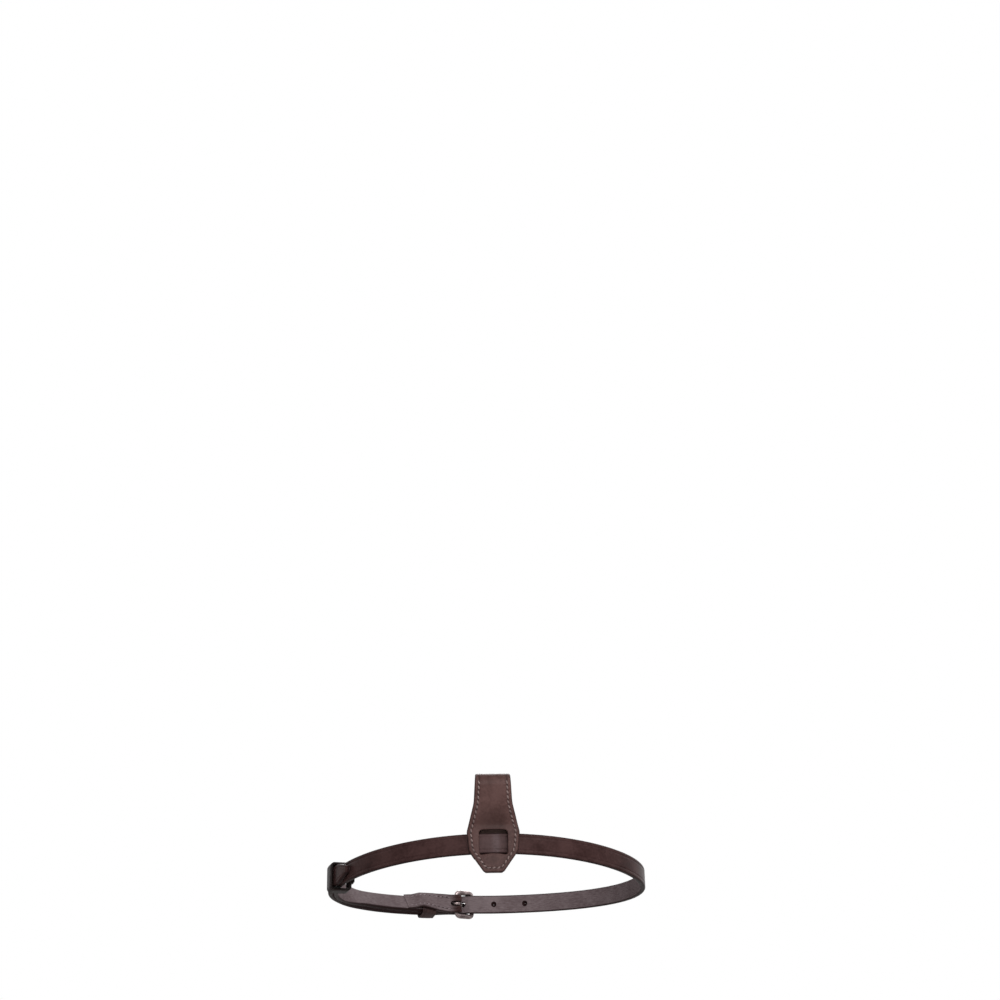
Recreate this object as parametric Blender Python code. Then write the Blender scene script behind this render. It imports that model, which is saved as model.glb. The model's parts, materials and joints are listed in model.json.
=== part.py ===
"""Flash noseband: a narrow strap that buckles round the muzzle, and the hanger that carries it.

Units are metres, +Z is up, +X is to the right seen from the front and -Y is the front. The origin is
the middle of the hanger's opening, where the main noseband goes through.

The strap's pieces are made flat, in the strap's own coordinates, and then wrapped round the ring:
x is the height outward from the middle of the leather, y is the distance along the strap from the
buckle's bar, and z is the distance across the strap.
"""

import math

import bmesh
import bpy
from mathutils import Matrix, Vector

OBJECT_NAME = "flash_noseband"

# Gap that touching pieces keep
SEAT_GAP = 0.0003

# The strap
STRAP_WIDTH = 0.012
STRAP_THICKNESS = 0.003
TIP_LENGTH = 0.013
TIP_POINT_WIDTH = 0.004

# The ring that the buckled strap makes, measured along the middle of the leather
RING_GIRTH = 0.604
FRONT_RISE = 0.0062
BACK_RISE = 0.0031

# Where the parts sit on the ring, in degrees: 270 is the front, 180 the left and 90 the back
FRONT_ANGLE = 270.0
BAR_ANGLE = 102.5
TIP_ANGLE = 210.0
RUNNER_ANGLE = 195.5

# The twist of the doubled strap: its lower edge leans in toward the muzzle
TWIST_PEAK = 34.0
TWIST_START_ANGLE = 104.0
TWIST_FULL_ANGLE = 120.0
TWIST_EASE_ANGLE = 146.0
TWIST_END_ANGLE = 169.0

# The chape: the strap's end, pared thin and folded back round the buckle's bar
CHAPE_THICKNESS = 0.002
CHAPE_LENGTH = 0.037
CHAPE_SEAM_HALF_SPACING = 0.0037
CHAPE_SEAM_START = 0.006
CHAPE_SEAM_END_MARGIN = 0.003

# The buckle
BUCKLE_WIRE = 0.0024
BUCKLE_LENGTH = 0.013
BUCKLE_SIDE_CLEARANCE = 0.001
BUCKLE_CORNER_RADIUS = 0.003
TONGUE_WIRE = 0.0019
TONGUE_BORE_CLEARANCE = 0.0003
TONGUE_OVERHANG = 0.0016
TONGUE_TAPER_START = 0.85
TONGUE_TIP_SHARE = 0.75
TONGUE_LOOP_TURN = 290.0
TONGUE_SLOT_CLEARANCE = 0.0006
TONGUE_SLOT_FORWARD = 0.0075
TONGUE_SLOT_BACK = 0.0045
STRAP_DIP = 0.0008
DIP_HALF_LENGTH = 0.0022
RISE_END = 0.0015
APPROACH_LENGTH = 0.013

# The row of holes
HOLE_PITCH = 0.0215
HOLE_DIAMETER = 0.0036
HOLES_PAST_BUCKLE = 6
HOLES_BEFORE_BUCKLE = 2
USED_HOLE_PLAY = 0.0005
USED_HOLE_SWING_ROOM = 0.0014

# The keepers
KEEPER_FACE_CLEARANCE = 0.0005
KEEPER_CORNER_RADIUS = 0.002
FIXED_KEEPER_WALL = 0.0012
FIXED_KEEPER_SIDE_CLEARANCE = 0.0007
FIXED_KEEPER_LENGTH = 0.011
FIXED_KEEPER_DISTANCE = 0.0203
FIXED_KEEPER_END_GAP = 0.001
CHAPE_EASE_LENGTH = 0.005
RUNNER_WALL = 0.0016
RUNNER_LENGTH = 0.010
RUNNER_INNER_SLACK = 0.0035
RUNNER_SIDE_CLEARANCE = 0.001
RUNNER_LAP_HALF_WIDTH = 0.0035

# The hanger
HANGER_THICKNESS = 0.0022
LINING_THICKNESS = 0.0014
SLOT_FACE_CLEARANCE = 0.0004
SLOT_EDGE_CLEARANCE = 0.0014
WINDOW_HALF_WIDTH = 0.0083
WINDOW_CORNER_RADIUS = 0.002
TIP_DROP = 0.0171
TIP_HALF_WIDTH = 0.0057
TIP_CORNER_RADIUS = 0.0015
HIP_DROP = 0.0048
HIP_HALF_WIDTH = 0.0143
SHOULDER_HEIGHT = 0.0065
SHOULDER_HALF_WIDTH = 0.0155
WAIST_HEIGHT = 0.0225
TAB_HALF_WIDTH = 0.0112
TAB_TAPER = 3.5
BEND_HEIGHT = 0.0105
LEAN = 20.0
CLOSED_LENGTH = 0.0012
OPENING_HEIGHT = 0.0254
OPENING_DEPTH = 0.008
OPENING_BOTTOM_SLOPE = 0.0045
BACK_LEG_TAIL = 0.0008
LINING_TOP_MARGIN = 0.0006
SHIELD_CURVE_FADE_START = 0.0115
SHIELD_CURVE_FADE_LENGTH = 0.0045

# Sewing thread
THREAD_DIAMETER = 0.0008
HANGER_SEAM_INSET = 0.0024
THREAD_POINT_SPACING = 0.003

# Fineness of the facets: angles in degrees, and the strap is finer near its buckle and its twist
ARC_STEP = 22.0
RING_STEP = 3.0
FINE_RING_STEP = 1.5
FINE_BEFORE_BAR = 12.0
HANGER_SLICE = 0.004
WIRE_BEVEL_RESOLUTION = 3
THREAD_BEVEL_RESOLUTION = 1
SMOOTH_ANGLE = 40.0
WELD_DISTANCE = 0.000001

# Corners: the share of a side that a fillet may use, the bend too small for one, and the mitre's limit
FILLET_SHARE = 0.49
STRAIGHT_BEND = 1.0
MITRE_COSINE = 0.5

# Surface values: base colour, roughness and metallic
FINISHES = {
    "dark_brown_leather": ((0.052, 0.031, 0.026), 0.52, 0.0),
    "hanger_leather": ((0.075, 0.043, 0.037), 0.55, 0.0),
    "lining_leather": ((0.090, 0.060, 0.050), 0.70, 0.0),
    "buckle_metal": ((0.36, 0.31, 0.30), 0.32, 1.0),
    "brown_thread": ((0.130, 0.085, 0.075), 0.80, 0.0),
}

# Levels and places that follow from the sizes above
RING_RADIUS = RING_GIRTH / math.tau
LAYER_STEP = STRAP_THICKNESS + SEAT_GAP
BAR_RADIUS = BUCKLE_WIRE / 2.0
TONGUE_RADIUS = TONGUE_WIRE / 2.0
THREAD_RADIUS = THREAD_DIAMETER / 2.0
STRAP_HALF = STRAP_THICKNESS / 2.0
CHAPE_HALF = CHAPE_THICKNESS / 2.0
BAR_LEVEL = -(STRAP_HALF + SEAT_GAP + BAR_RADIUS)
FOLD_INNER_RADIUS = BAR_RADIUS + SEAT_GAP
TIP_REACH = RING_RADIUS * math.radians(TIP_ANGLE - BAR_ANGLE)
RUNNER_PLACE = RING_RADIUS * math.radians(RUNNER_ANGLE - BAR_ANGLE)
FRAME_END_LEVEL = -STRAP_DIP + STRAP_HALF + SEAT_GAP + BAR_RADIUS
FRAME_END_PLACE = -math.sqrt(BUCKLE_LENGTH**2 - (FRAME_END_LEVEL - BAR_LEVEL) ** 2)
CUT_DEPTH = 2.0 * LAYER_STEP + STRAP_THICKNESS
FRONT_LEVEL = STRAP_HALF + SLOT_FACE_CLEARANCE + HANGER_THICKNESS / 2.0
WINDOW_HALF_HEIGHT = STRAP_WIDTH / 2.0 + SLOT_EDGE_CLEARANCE

LEAN_ALONG = Vector((math.sin(math.radians(LEAN)), math.cos(math.radians(LEAN))))
LEAN_INWARD = Vector((-LEAN_ALONG.y, LEAN_ALONG.x))
LEAN_FOOT = Vector((FRONT_LEVEL, BEND_HEIGHT))
LOOP_CENTRE = (
    LEAN_FOOT
    + LEAN_ALONG * (CLOSED_LENGTH + OPENING_HEIGHT / 2.0)
    + LEAN_INWARD * (HANGER_THICKNESS + OPENING_DEPTH) / 2.0
)
RING_CENTRE = Vector((0.0, RING_RADIUS + LOOP_CENTRE.x, -FRONT_RISE - LOOP_CENTRE.y))


# Collections, materials and clean-up


def clear_scene():
    """Remove every object that the file starts with."""
    for item in list(bpy.data.objects):
        bpy.data.objects.remove(item, do_unlink=True)


def new_collection(name):
    """A collection linked to the scene."""
    group = bpy.data.collections.new(name)
    bpy.context.scene.collection.children.link(group)
    return group


clear_scene()
PARTS = new_collection(OBJECT_NAME)
CUTTERS = new_collection(OBJECT_NAME + "_cutters")


def make_material(name):
    """A Principled BSDF material with the finish of that name."""
    colour, roughness, metallic = FINISHES[name]
    material = bpy.data.materials.new(name)
    material.use_nodes = True
    shader = material.node_tree.nodes["Principled BSDF"]
    shader.inputs["Base Color"].default_value = (*colour, 1.0)
    shader.inputs["Roughness"].default_value = roughness
    shader.inputs["Metallic"].default_value = metallic
    return material


MATERIALS = {name: make_material(name) for name in FINISHES}


# Paths and outlines in two dimensions


def filleted(corners, closed=False):
    """Points of a polyline given as (x, y, radius) corners, with each corner rounded by an arc."""
    count = len(corners)
    points = []
    for index, (x, y, radius) in enumerate(corners):
        here = Vector((x, y))
        is_end = not closed and index in (0, count - 1)
        if is_end or radius <= 0.0:
            points.append(here)
            continue
        before = Vector(corners[index - 1][:2]) - here
        after = Vector(corners[(index + 1) % count][:2]) - here
        half_angle = before.angle(after) / 2.0
        turn = math.pi - 2.0 * half_angle
        if turn < math.radians(STRAIGHT_BEND):
            points.append(here)
            continue
        reach = FILLET_SHARE * min(before.length, after.length)
        radius = min(radius, reach * math.tan(half_angle))
        trim = radius / math.tan(half_angle)
        first = here + before.normalized() * trim
        last = here + after.normalized() * trim
        middle = before.normalized() + after.normalized()
        centre = here + middle.normalized() * radius / math.sin(half_angle)
        steps = max(2, math.ceil(turn / math.radians(ARC_STEP)))
        sign = 1.0 if (first - centre).cross(last - centre) > 0.0 else -1.0
        for step in range(steps + 1):
            spoke = (first - centre).copy()
            spoke.rotate(Matrix.Rotation(sign * turn * step / steps, 2))
            points.append(centre + spoke)
    return points


def rounded_box(half_x, half_y, radius, centre=(0.0, 0.0)):
    """Outline of a rectangle with rounded corners."""
    x, y = centre
    corners = [(-half_x, -half_y), (half_x, -half_y), (half_x, half_y), (-half_x, half_y)]
    return filleted([(x + side, y + rise, radius) for side, rise in corners], closed=True)


def path_normals(path):
    """Left-hand normals of an open path, lengthened at corners so that an offset stays parallel."""
    normals = []
    for index in range(len(path)):
        sides = []
        if index > 0:
            sides.append((path[index] - path[index - 1]).normalized())
        if index < len(path) - 1:
            sides.append((path[index + 1] - path[index]).normalized())
        direction = sum(sides, Vector((0.0, 0.0))).normalized()
        normal = Vector((-direction.y, direction.x))
        normals.append(normal / max(MITRE_COSINE, abs(direction.dot(sides[0]))))
    return normals


def offset_path(path, distances):
    """The path moved to its left by a distance for each point."""
    return [point + normal * shift for point, normal, shift in zip(path, path_normals(path), distances)]


def ribbon_outline(path, thicknesses):
    """Closed outline of a sheet seen on edge, from its middle line and its thicknesses."""
    left = offset_path(path, [thickness / 2.0 for thickness in thicknesses])
    right = offset_path(path, [-thickness / 2.0 for thickness in thicknesses])
    return left + right[::-1]


def spaced(path, spacing):
    """The path with points added so that no stretch is longer than the spacing."""
    points = [path[0]]
    for start, end in zip(path, path[1:]):
        steps = max(1, math.ceil((end - start).length / spacing))
        points += [start.lerp(end, step / steps) for step in range(1, steps + 1)]
    return points


# Meshes


def finish(item, material):
    """Weld, turn the faces outward, shade and set the material of a finished piece."""
    mesh = item.data
    work = bmesh.new()
    work.from_mesh(mesh)
    bmesh.ops.remove_doubles(work, verts=work.verts, dist=WELD_DISTANCE)
    bmesh.ops.triangulate(work, faces=work.faces)
    bmesh.ops.recalc_face_normals(work, faces=work.faces)
    work.to_mesh(mesh)
    work.free()
    mesh.shade_smooth()
    mesh.set_sharp_from_angle(angle=math.radians(SMOOTH_ANGLE))
    mesh.materials.clear()
    mesh.materials.append(MATERIALS[material])
    return item


def mesh_from_curve(name, curve, collection):
    """Make a welded mesh object from a curve and remove the curve."""
    source = bpy.data.objects.new(name + "_curve", curve)
    collection.objects.link(source)
    bpy.context.view_layer.update()
    graph = bpy.context.evaluated_depsgraph_get()
    mesh = bpy.data.meshes.new_from_object(source.evaluated_get(graph))
    mesh.name = name
    bpy.data.objects.remove(source, do_unlink=True)
    bpy.data.curves.remove(curve)
    item = bpy.data.objects.new(name, mesh)
    collection.objects.link(item)
    work = bmesh.new()
    work.from_mesh(mesh)
    bmesh.ops.remove_doubles(work, verts=work.verts, dist=WELD_DISTANCE)
    bmesh.ops.recalc_face_normals(work, faces=work.faces)
    work.to_mesh(mesh)
    work.free()
    return item


def plate(name, outlines, low, high, collection):
    """Flat outlines in XY, extruded from one height along Z to another."""
    curve = bpy.data.curves.new(name, "CURVE")
    curve.dimensions = "2D"
    curve.fill_mode = "BOTH"
    curve.extrude = (high - low) / 2.0
    for outline in outlines:
        spline = curve.splines.new("POLY")
        spline.points.add(len(outline) - 1)
        for target, point in zip(spline.points, outline):
            target.co = (point.x, point.y, 0.0, 1.0)
        spline.use_cyclic_u = True
    item = mesh_from_curve(name, curve, collection)
    item.data.transform(Matrix.Translation((0.0, 0.0, (low + high) / 2.0)))
    return item


def tube(name, points, diameter, resolution, closed=False, end_radius=1.0):
    """A round wire along points, with filled ends."""
    curve = bpy.data.curves.new(name, "CURVE")
    curve.dimensions = "3D"
    curve.bevel_depth = diameter / 2.0
    curve.bevel_resolution = resolution
    curve.use_fill_caps = not closed
    spline = curve.splines.new("POLY")
    spline.points.add(len(points) - 1)
    for target, point in zip(spline.points, points):
        target.co = (*point, 1.0)
    spline.points[-1].radius = end_radius
    spline.use_cyclic_u = closed
    return mesh_from_curve(name, curve, PARTS)


def apply_boolean(item, cutter, operation="DIFFERENCE"):
    """Cut or intersect a piece with a cutter, and remove the cutter."""
    cutter.hide_render = True
    cutter.display_type = "WIRE"
    modifier = item.modifiers.new(operation.lower(), "BOOLEAN")
    modifier.operation = operation
    modifier.solver = "EXACT"
    modifier.object = cutter
    bpy.context.view_layer.update()
    graph = bpy.context.evaluated_depsgraph_get()
    result = bpy.data.meshes.new_from_object(item.evaluated_get(graph))
    item.modifiers.remove(modifier)
    spent = item.data
    item.data = result
    result.name = item.name
    bpy.data.meshes.remove(spent)
    bpy.data.objects.remove(cutter, do_unlink=True)


def slice_mesh(item, axis, places, only=None):
    """Add edge loops where planes square to an axis cross the mesh."""
    work = bmesh.new()
    work.from_mesh(item.data)
    normal = Vector((0.0, 0.0, 0.0))
    normal[axis] = 1.0
    for place in places:
        faces = [face for face in work.faces if only is None or only(face)]
        touched = {edge for face in faces for edge in face.edges}
        geometry = faces + list(touched) + list({vert for edge in touched for vert in edge.verts})
        point = normal * place
        bmesh.ops.bisect_plane(work, geom=geometry, dist=WELD_DISTANCE, plane_co=point, plane_no=normal)
    bmesh.ops.triangulate(work, faces=work.faces)
    work.to_mesh(item.data)
    work.free()


def set_origin(item, point):
    """Put a piece's origin at a point, with its mesh staying where it is."""
    item.data.transform(Matrix.Translation(-point))
    item.matrix_world = Matrix.Translation(point)


# The ring


def smooth_step(value):
    """0 below 0, 1 above 1 and an even rise between."""
    value = min(1.0, max(0.0, value))
    return value * value * (3.0 - 2.0 * value)


def ring_twist(angle):
    """Lean of the strap about its own length, in radians, at a ring angle in degrees."""
    angle %= 360.0
    gain = smooth_step((angle - TWIST_START_ANGLE) / (TWIST_FULL_ANGLE - TWIST_START_ANGLE))
    loss = smooth_step((angle - TWIST_EASE_ANGLE) / (TWIST_END_ANGLE - TWIST_EASE_ANGLE))
    return math.radians(TWIST_PEAK) * (gain - loss)


def ring_rise(angle):
    """Height of the strap above its lowest places, which are at the left and the right."""
    forward = math.cos(math.radians(angle - FRONT_ANGLE))
    rise = FRONT_RISE if forward > 0.0 else BACK_RISE
    return rise * forward * forward


def ring_frame(angle):
    """Outward and across directions of the strap at a ring angle in degrees."""
    turn = math.radians(angle)
    spoke = Vector((math.cos(turn), math.sin(turn), 0.0))
    up = Vector((0.0, 0.0, 1.0))
    twist = ring_twist(angle)
    outward = spoke * math.cos(twist) - up * math.sin(twist)
    across = up * math.cos(twist) + spoke * math.sin(twist)
    return spoke, outward, across


def on_ring(level, place, across_shift):
    """World point of the strap coordinates: outward, along from the buckle's bar, and across."""
    angle = BAR_ANGLE + math.degrees(place / RING_RADIUS)
    spoke, outward, across = ring_frame(angle)
    middle = RING_CENTRE + spoke * RING_RADIUS + Vector((0.0, 0.0, ring_rise(angle)))
    return middle + outward * level + across * across_shift


def ring_stations():
    """Places along the strap where it bends from one facet to the next."""
    fine_length = FINE_BEFORE_BAR + math.ceil((TWIST_END_ANGLE - BAR_ANGLE) / RING_STEP) * RING_STEP
    angle = -FINE_BEFORE_BAR
    places = []
    while angle < 360.0 + TIP_ANGLE - BAR_ANGLE:
        places.append(RING_RADIUS * math.radians(angle))
        is_fine = (angle + FINE_BEFORE_BAR) % 360.0 < fine_length
        angle += FINE_RING_STEP if is_fine else RING_STEP
    return places


def wrap(item):
    """Bend a flat piece round the ring."""
    places = [vertex.co.y for vertex in item.data.vertices]
    low, high = min(places), max(places)
    slice_mesh(item, 1, [place for place in ring_stations() if low < place < high])
    for vertex in item.data.vertices:
        vertex.co = on_ring(*vertex.co)


# The strap and its chape


def chape_level(place):
    """Level of the middle of the folded-back leather at a place along the strap."""
    return interpolate(place, [(corner[0], corner[1]) for corner in reversed(chape_corners())])


def interpolate(value, points):
    """Height of a line through (x, y) points, which rise in x."""
    if value <= points[0][0]:
        return points[0][1]
    for (x0, y0), (x1, y1) in zip(points, points[1:]):
        if value <= x1:
            return y0 + (y1 - y0) * (value - x0) / (x1 - x0)
    return points[-1][1]


def chape_corners():
    """Corners of the folded-back leather, from its end to the fold."""
    seated = -(STRAP_HALF + SEAT_GAP + CHAPE_HALF)
    under_keeper = seated - FIXED_KEEPER_WALL - SEAT_GAP
    at_fold = BAR_LEVEL - FOLD_INNER_RADIUS - CHAPE_HALF
    keeper_reach = FIXED_KEEPER_LENGTH / 2.0 + SEAT_GAP
    ease = CHAPE_EASE_LENGTH
    return [
        (CHAPE_LENGTH, seated, 0.0),
        (FIXED_KEEPER_DISTANCE + keeper_reach + ease, seated, ease),
        (FIXED_KEEPER_DISTANCE + keeper_reach, under_keeper, ease),
        (FIXED_KEEPER_DISTANCE - keeper_reach, under_keeper, ease),
        (BUCKLE_WIRE, at_fold, ease),
        (0.0, at_fold, 0.0),
    ]


def fold_path():
    """The half turn of the leather round the bar, from the inside to the outside."""
    steps = math.ceil(180.0 / ARC_STEP)
    path = []
    for step in range(1, steps):
        share = step / steps
        turn = math.radians(-90.0 - 180.0 * share)
        half = CHAPE_HALF + (STRAP_HALF - CHAPE_HALF) * share
        radius = FOLD_INNER_RADIUS + half
        path.append((Vector((radius * math.cos(turn), BAR_LEVEL + radius * math.sin(turn))), 2.0 * half))
    return path


def main_path():
    """The middle line of the strap from the bar, round the ring and through the buckle to its tip."""
    over_chape = LAYER_STEP
    dip = RING_GIRTH + FRAME_END_PLACE
    corners = [
        (0.0, 0.0, 0.0),
        (dip - DIP_HALF_LENGTH - APPROACH_LENGTH, 0.0, APPROACH_LENGTH),
        (dip - DIP_HALF_LENGTH, -STRAP_DIP, DIP_HALF_LENGTH),
        (dip + DIP_HALF_LENGTH, -STRAP_DIP, DIP_HALF_LENGTH),
        (RING_GIRTH - RISE_END, over_chape, DIP_HALF_LENGTH),
        (RING_GIRTH + TIP_REACH, over_chape, 0.0),
    ]
    return filleted(corners)


def strap_outline():
    """The strap seen on edge, from the end of its chape to its tip."""
    chape = filleted(chape_corners())
    fold = fold_path()
    main = main_path()
    path = chape + [point for point, _ in fold] + main
    thicknesses = [CHAPE_THICKNESS] * len(chape)
    thicknesses += [thickness for _, thickness in fold]
    thicknesses += [STRAP_THICKNESS] * len(main)
    return ribbon_outline(path, thicknesses)


def strap_plan():
    """The strap seen flat: straight edges and a tapered tip."""
    half = STRAP_WIDTH / 2.0
    start = -2.0 * (FOLD_INNER_RADIUS + STRAP_THICKNESS)
    end = RING_GIRTH + TIP_REACH
    point = TIP_POINT_WIDTH / 2.0
    corners = [
        (start, -half, 0.0),
        (end - TIP_LENGTH, -half, TIP_LENGTH),
        (end, -point, point),
        (end, point, point),
        (end - TIP_LENGTH, half, TIP_LENGTH),
        (start, half, 0.0),
    ]
    return filleted(corners, closed=True)


def tongue_line():
    """Start and end of the straight part of the tongue, in strap coordinates."""
    loop_radius = BAR_RADIUS + TONGUE_BORE_CLEARANCE + TONGUE_RADIUS
    rest_level = FRAME_END_LEVEL + BAR_RADIUS + SEAT_GAP + TONGUE_RADIUS
    start = Vector((0.0, BAR_LEVEL + loop_radius))
    rest = Vector((FRAME_END_PLACE, rest_level))
    return start, rest


def used_hole():
    """Middle and length of the hole that the tongue goes through, along the strap."""
    start, rest = tongue_line()
    low = Vector((FRAME_END_PLACE + DIP_HALF_LENGTH, -STRAP_DIP))
    high = Vector((-RISE_END, LAYER_STEP))
    leather_slope = (high.y - low.y) / (high.x - low.x)
    tongue_slope = (rest.y - start.y) / (rest.x - start.x)
    drop = (start.y - tongue_slope * start.x) - (low.y - leather_slope * low.x)
    middle = drop / (leather_slope - tongue_slope)
    crossing = math.atan(leather_slope) - math.atan(tongue_slope)
    half = STRAP_HALF / math.tan(crossing) + TONGUE_RADIUS / math.sin(crossing) + USED_HOLE_PLAY
    return middle, half


def hole_outline(place):
    """Outline of one round hole at a place along the strap."""
    radius = HOLE_DIAMETER / 2.0
    return rounded_box(radius, radius, radius, (place, 0.0))


def cut_strap(strap, name, outlines, low, high, operation="DIFFERENCE"):
    """Cut the flat strap with outlines drawn as (along, across), between two levels."""
    cutter = plate(name, outlines, low, high, CUTTERS)
    # Turn (along, across, outward) to (outward, along, across)
    cutter.data.transform(Matrix(((0, 0, 1, 0), (1, 0, 0, 0), (0, 1, 0, 0), (0, 0, 0, 1))))
    apply_boolean(strap, cutter, operation)


def make_strap():
    """The flash strap with its chape, the slots for the tongue and the row of holes."""
    strap = plate("flash_strap", [strap_outline()], -STRAP_WIDTH, STRAP_WIDTH, PARTS)
    # The outline is drawn as (along, outward); turn it to (outward, along, across)
    strap.data.transform(Matrix(((0, 1, 0, 0), (1, 0, 0, 0), (0, 0, 1, 0), (0, 0, 0, 1))))
    strap.data.flip_normals()
    cut_strap(strap, "strap_plan", [strap_plan()], -CUT_DEPTH, CUT_DEPTH, "INTERSECT")

    slot_half = TONGUE_RADIUS + TONGUE_SLOT_CLEARANCE
    slot_middle = (TONGUE_SLOT_BACK - TONGUE_SLOT_FORWARD) / 2.0
    slot_reach = (TONGUE_SLOT_BACK + TONGUE_SLOT_FORWARD) / 2.0
    place, half = used_hole()
    used_middle = RING_GIRTH + place + USED_HOLE_SWING_ROOM / 2.0
    used_reach = half + USED_HOLE_SWING_ROOM / 2.0
    slots = [
        rounded_box(slot_reach, slot_half, slot_half, (slot_middle, 0.0)),
        rounded_box(used_reach, slot_half, slot_half, (used_middle, 0.0)),
    ]
    cut_strap(strap, "tongue_slots", slots, -CUT_DEPTH, CUT_DEPTH)

    first = RING_GIRTH + place
    before = [hole_outline(first - count * HOLE_PITCH) for count in range(1, HOLES_BEFORE_BUCKLE + 1)]
    cut_strap(strap, "holes_before_buckle", before, -LAYER_STEP, LAYER_STEP)
    past = [hole_outline(first + count * HOLE_PITCH) for count in range(1, HOLES_PAST_BUCKLE + 1)]
    cut_strap(strap, "holes_past_buckle", past, STRAP_HALF, CUT_DEPTH)

    wrap(strap)
    set_origin(strap, RING_CENTRE)
    return finish(strap, "dark_brown_leather")


def make_chape_thread(name, across):
    """One row of sewing on the inside of the chape."""
    depth = CHAPE_HALF + SEAT_GAP + THREAD_RADIUS
    start = CHAPE_SEAM_START
    end = CHAPE_LENGTH - CHAPE_SEAM_END_MARGIN
    steps = math.ceil((end - start) / THREAD_POINT_SPACING)
    points = []
    for step in range(steps + 1):
        place = start + (end - start) * step / steps
        points.append(on_ring(chape_level(place) - depth, place, across))
    thread = tube(name, points, THREAD_DIAMETER, THREAD_BEVEL_RESOLUTION)
    set_origin(thread, RING_CENTRE)
    return finish(thread, "brown_thread")


# The buckle


def buckle_turn():
    """Directions of the buckle's frame: along it from the bar, across it and away from the muzzle."""
    bar = on_ring(BAR_LEVEL, 0.0, 0.0)
    end = on_ring(FRAME_END_LEVEL, FRAME_END_PLACE, 0.0)
    along = (end - bar).normalized()
    _, _, across = ring_frame(BAR_ANGLE)
    out = across.cross(along).normalized()
    turn = Matrix((along, out.cross(along), out)).transposed()
    return bar, end, turn


def make_buckle_frame():
    """The wire frame, with its bar in the fold of the strap."""
    bar, end, turn = buckle_turn()
    length = (end - bar).length
    half_width = STRAP_WIDTH / 2.0 + BUCKLE_SIDE_CLEARANCE + BAR_RADIUS
    outline = rounded_box(length / 2.0, half_width, BUCKLE_CORNER_RADIUS, (length / 2.0, 0.0))
    points = [Vector((point.x, point.y, 0.0)) for point in outline]
    frame = tube("buckle_frame", points, BUCKLE_WIRE, WIRE_BEVEL_RESOLUTION, closed=True)
    frame.matrix_world = Matrix.Translation(bar) @ turn.to_4x4()
    return finish(frame, "buckle_metal")


def make_buckle_tongue():
    """The tongue: a wire looped round the bar, resting on the far end of the frame."""
    bar, end, turn = buckle_turn()
    loop_radius = BAR_RADIUS + TONGUE_BORE_CLEARANCE + TONGUE_RADIUS
    length = (end - bar).length
    rise = BAR_RADIUS + SEAT_GAP + TONGUE_RADIUS
    slope = math.asin((rise - loop_radius) / length)
    points = []
    steps = math.ceil(TONGUE_LOOP_TURN / ARC_STEP)
    for step in range(steps + 1):
        angle = math.radians(90.0 + TONGUE_LOOP_TURN * (1.0 - step / steps)) + slope
        points.append(Vector((loop_radius * math.cos(angle), 0.0, loop_radius * math.sin(angle))))
    direction = Vector((math.cos(slope), 0.0, math.sin(slope)))
    shaft = length + TONGUE_OVERHANG
    points += [points[-1] + direction * shaft * share for share in (TONGUE_TAPER_START, 1.0)]
    tongue = tube("buckle_tongue", points, TONGUE_WIRE, WIRE_BEVEL_RESOLUTION, end_radius=TONGUE_TIP_SHARE)
    tongue.matrix_world = Matrix.Translation(bar) @ turn.to_4x4()
    return finish(tongue, "buckle_metal")


# The keepers


def keeper_band(name, corners, wall, place, length):
    """A leather band seen on edge across the strap, wrapped round the ring at a place along it."""
    path = filleted(corners)
    outline = ribbon_outline(path, [wall] * len(path))
    band = plate(name, [outline], place - length / 2.0, place + length / 2.0, PARTS)
    # The outline is drawn as (outward, across); turn it to (outward, along, across)
    band.data.transform(Matrix(((1, 0, 0, 0), (0, 0, 1, 0), (0, 1, 0, 0), (0, 0, 0, 1))))
    band.data.flip_normals()
    wrap(band)
    set_origin(band, RING_CENTRE)
    return finish(band, "dark_brown_leather")


def make_fixed_keeper():
    """The sewn keeper: its ends are held between the strap and the chape."""
    half_wall = FIXED_KEEPER_WALL / 2.0
    inner = -(STRAP_HALF + SEAT_GAP + half_wall)
    outer = LAYER_STEP + STRAP_HALF + KEEPER_FACE_CLEARANCE + half_wall
    side = STRAP_WIDTH / 2.0 + FIXED_KEEPER_SIDE_CLEARANCE + half_wall
    end = FIXED_KEEPER_END_GAP / 2.0
    radius = KEEPER_CORNER_RADIUS
    corners = [
        (inner, end, 0.0),
        (inner, side, radius),
        (outer, side, radius),
        (outer, -side, radius),
        (inner, -side, radius),
        (inner, -end, 0.0),
    ]
    return keeper_band("fixed_keeper", corners, FIXED_KEEPER_WALL, FIXED_KEEPER_DISTANCE, FIXED_KEEPER_LENGTH)


def runner_levels():
    """Levels of the runner keeper's wall: the first turn inside, the lap over it, and outside."""
    half_wall = RUNNER_WALL / 2.0
    first = -(STRAP_HALF + RUNNER_INNER_SLACK + half_wall)
    lap = first - RUNNER_WALL - SEAT_GAP
    outer = LAYER_STEP + STRAP_HALF + KEEPER_FACE_CLEARANCE + half_wall
    return first, lap, outer


def make_runner_keeper():
    """The sliding keeper: a band whose ends lap on the inside."""
    first, lap, outer = runner_levels()
    side = STRAP_WIDTH / 2.0 + RUNNER_SIDE_CLEARANCE + RUNNER_WALL / 2.0
    radius = KEEPER_CORNER_RADIUS
    corners = [
        (first, RUNNER_LAP_HALF_WIDTH, 0.0),
        (first, -side, radius),
        (outer, -side, radius),
        (outer, side, radius),
        (lap, side, radius),
        (lap, -RUNNER_LAP_HALF_WIDTH, 0.0),
    ]
    return keeper_band("runner_keeper", corners, RUNNER_WALL, RUNNER_PLACE, RUNNER_LENGTH)


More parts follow.
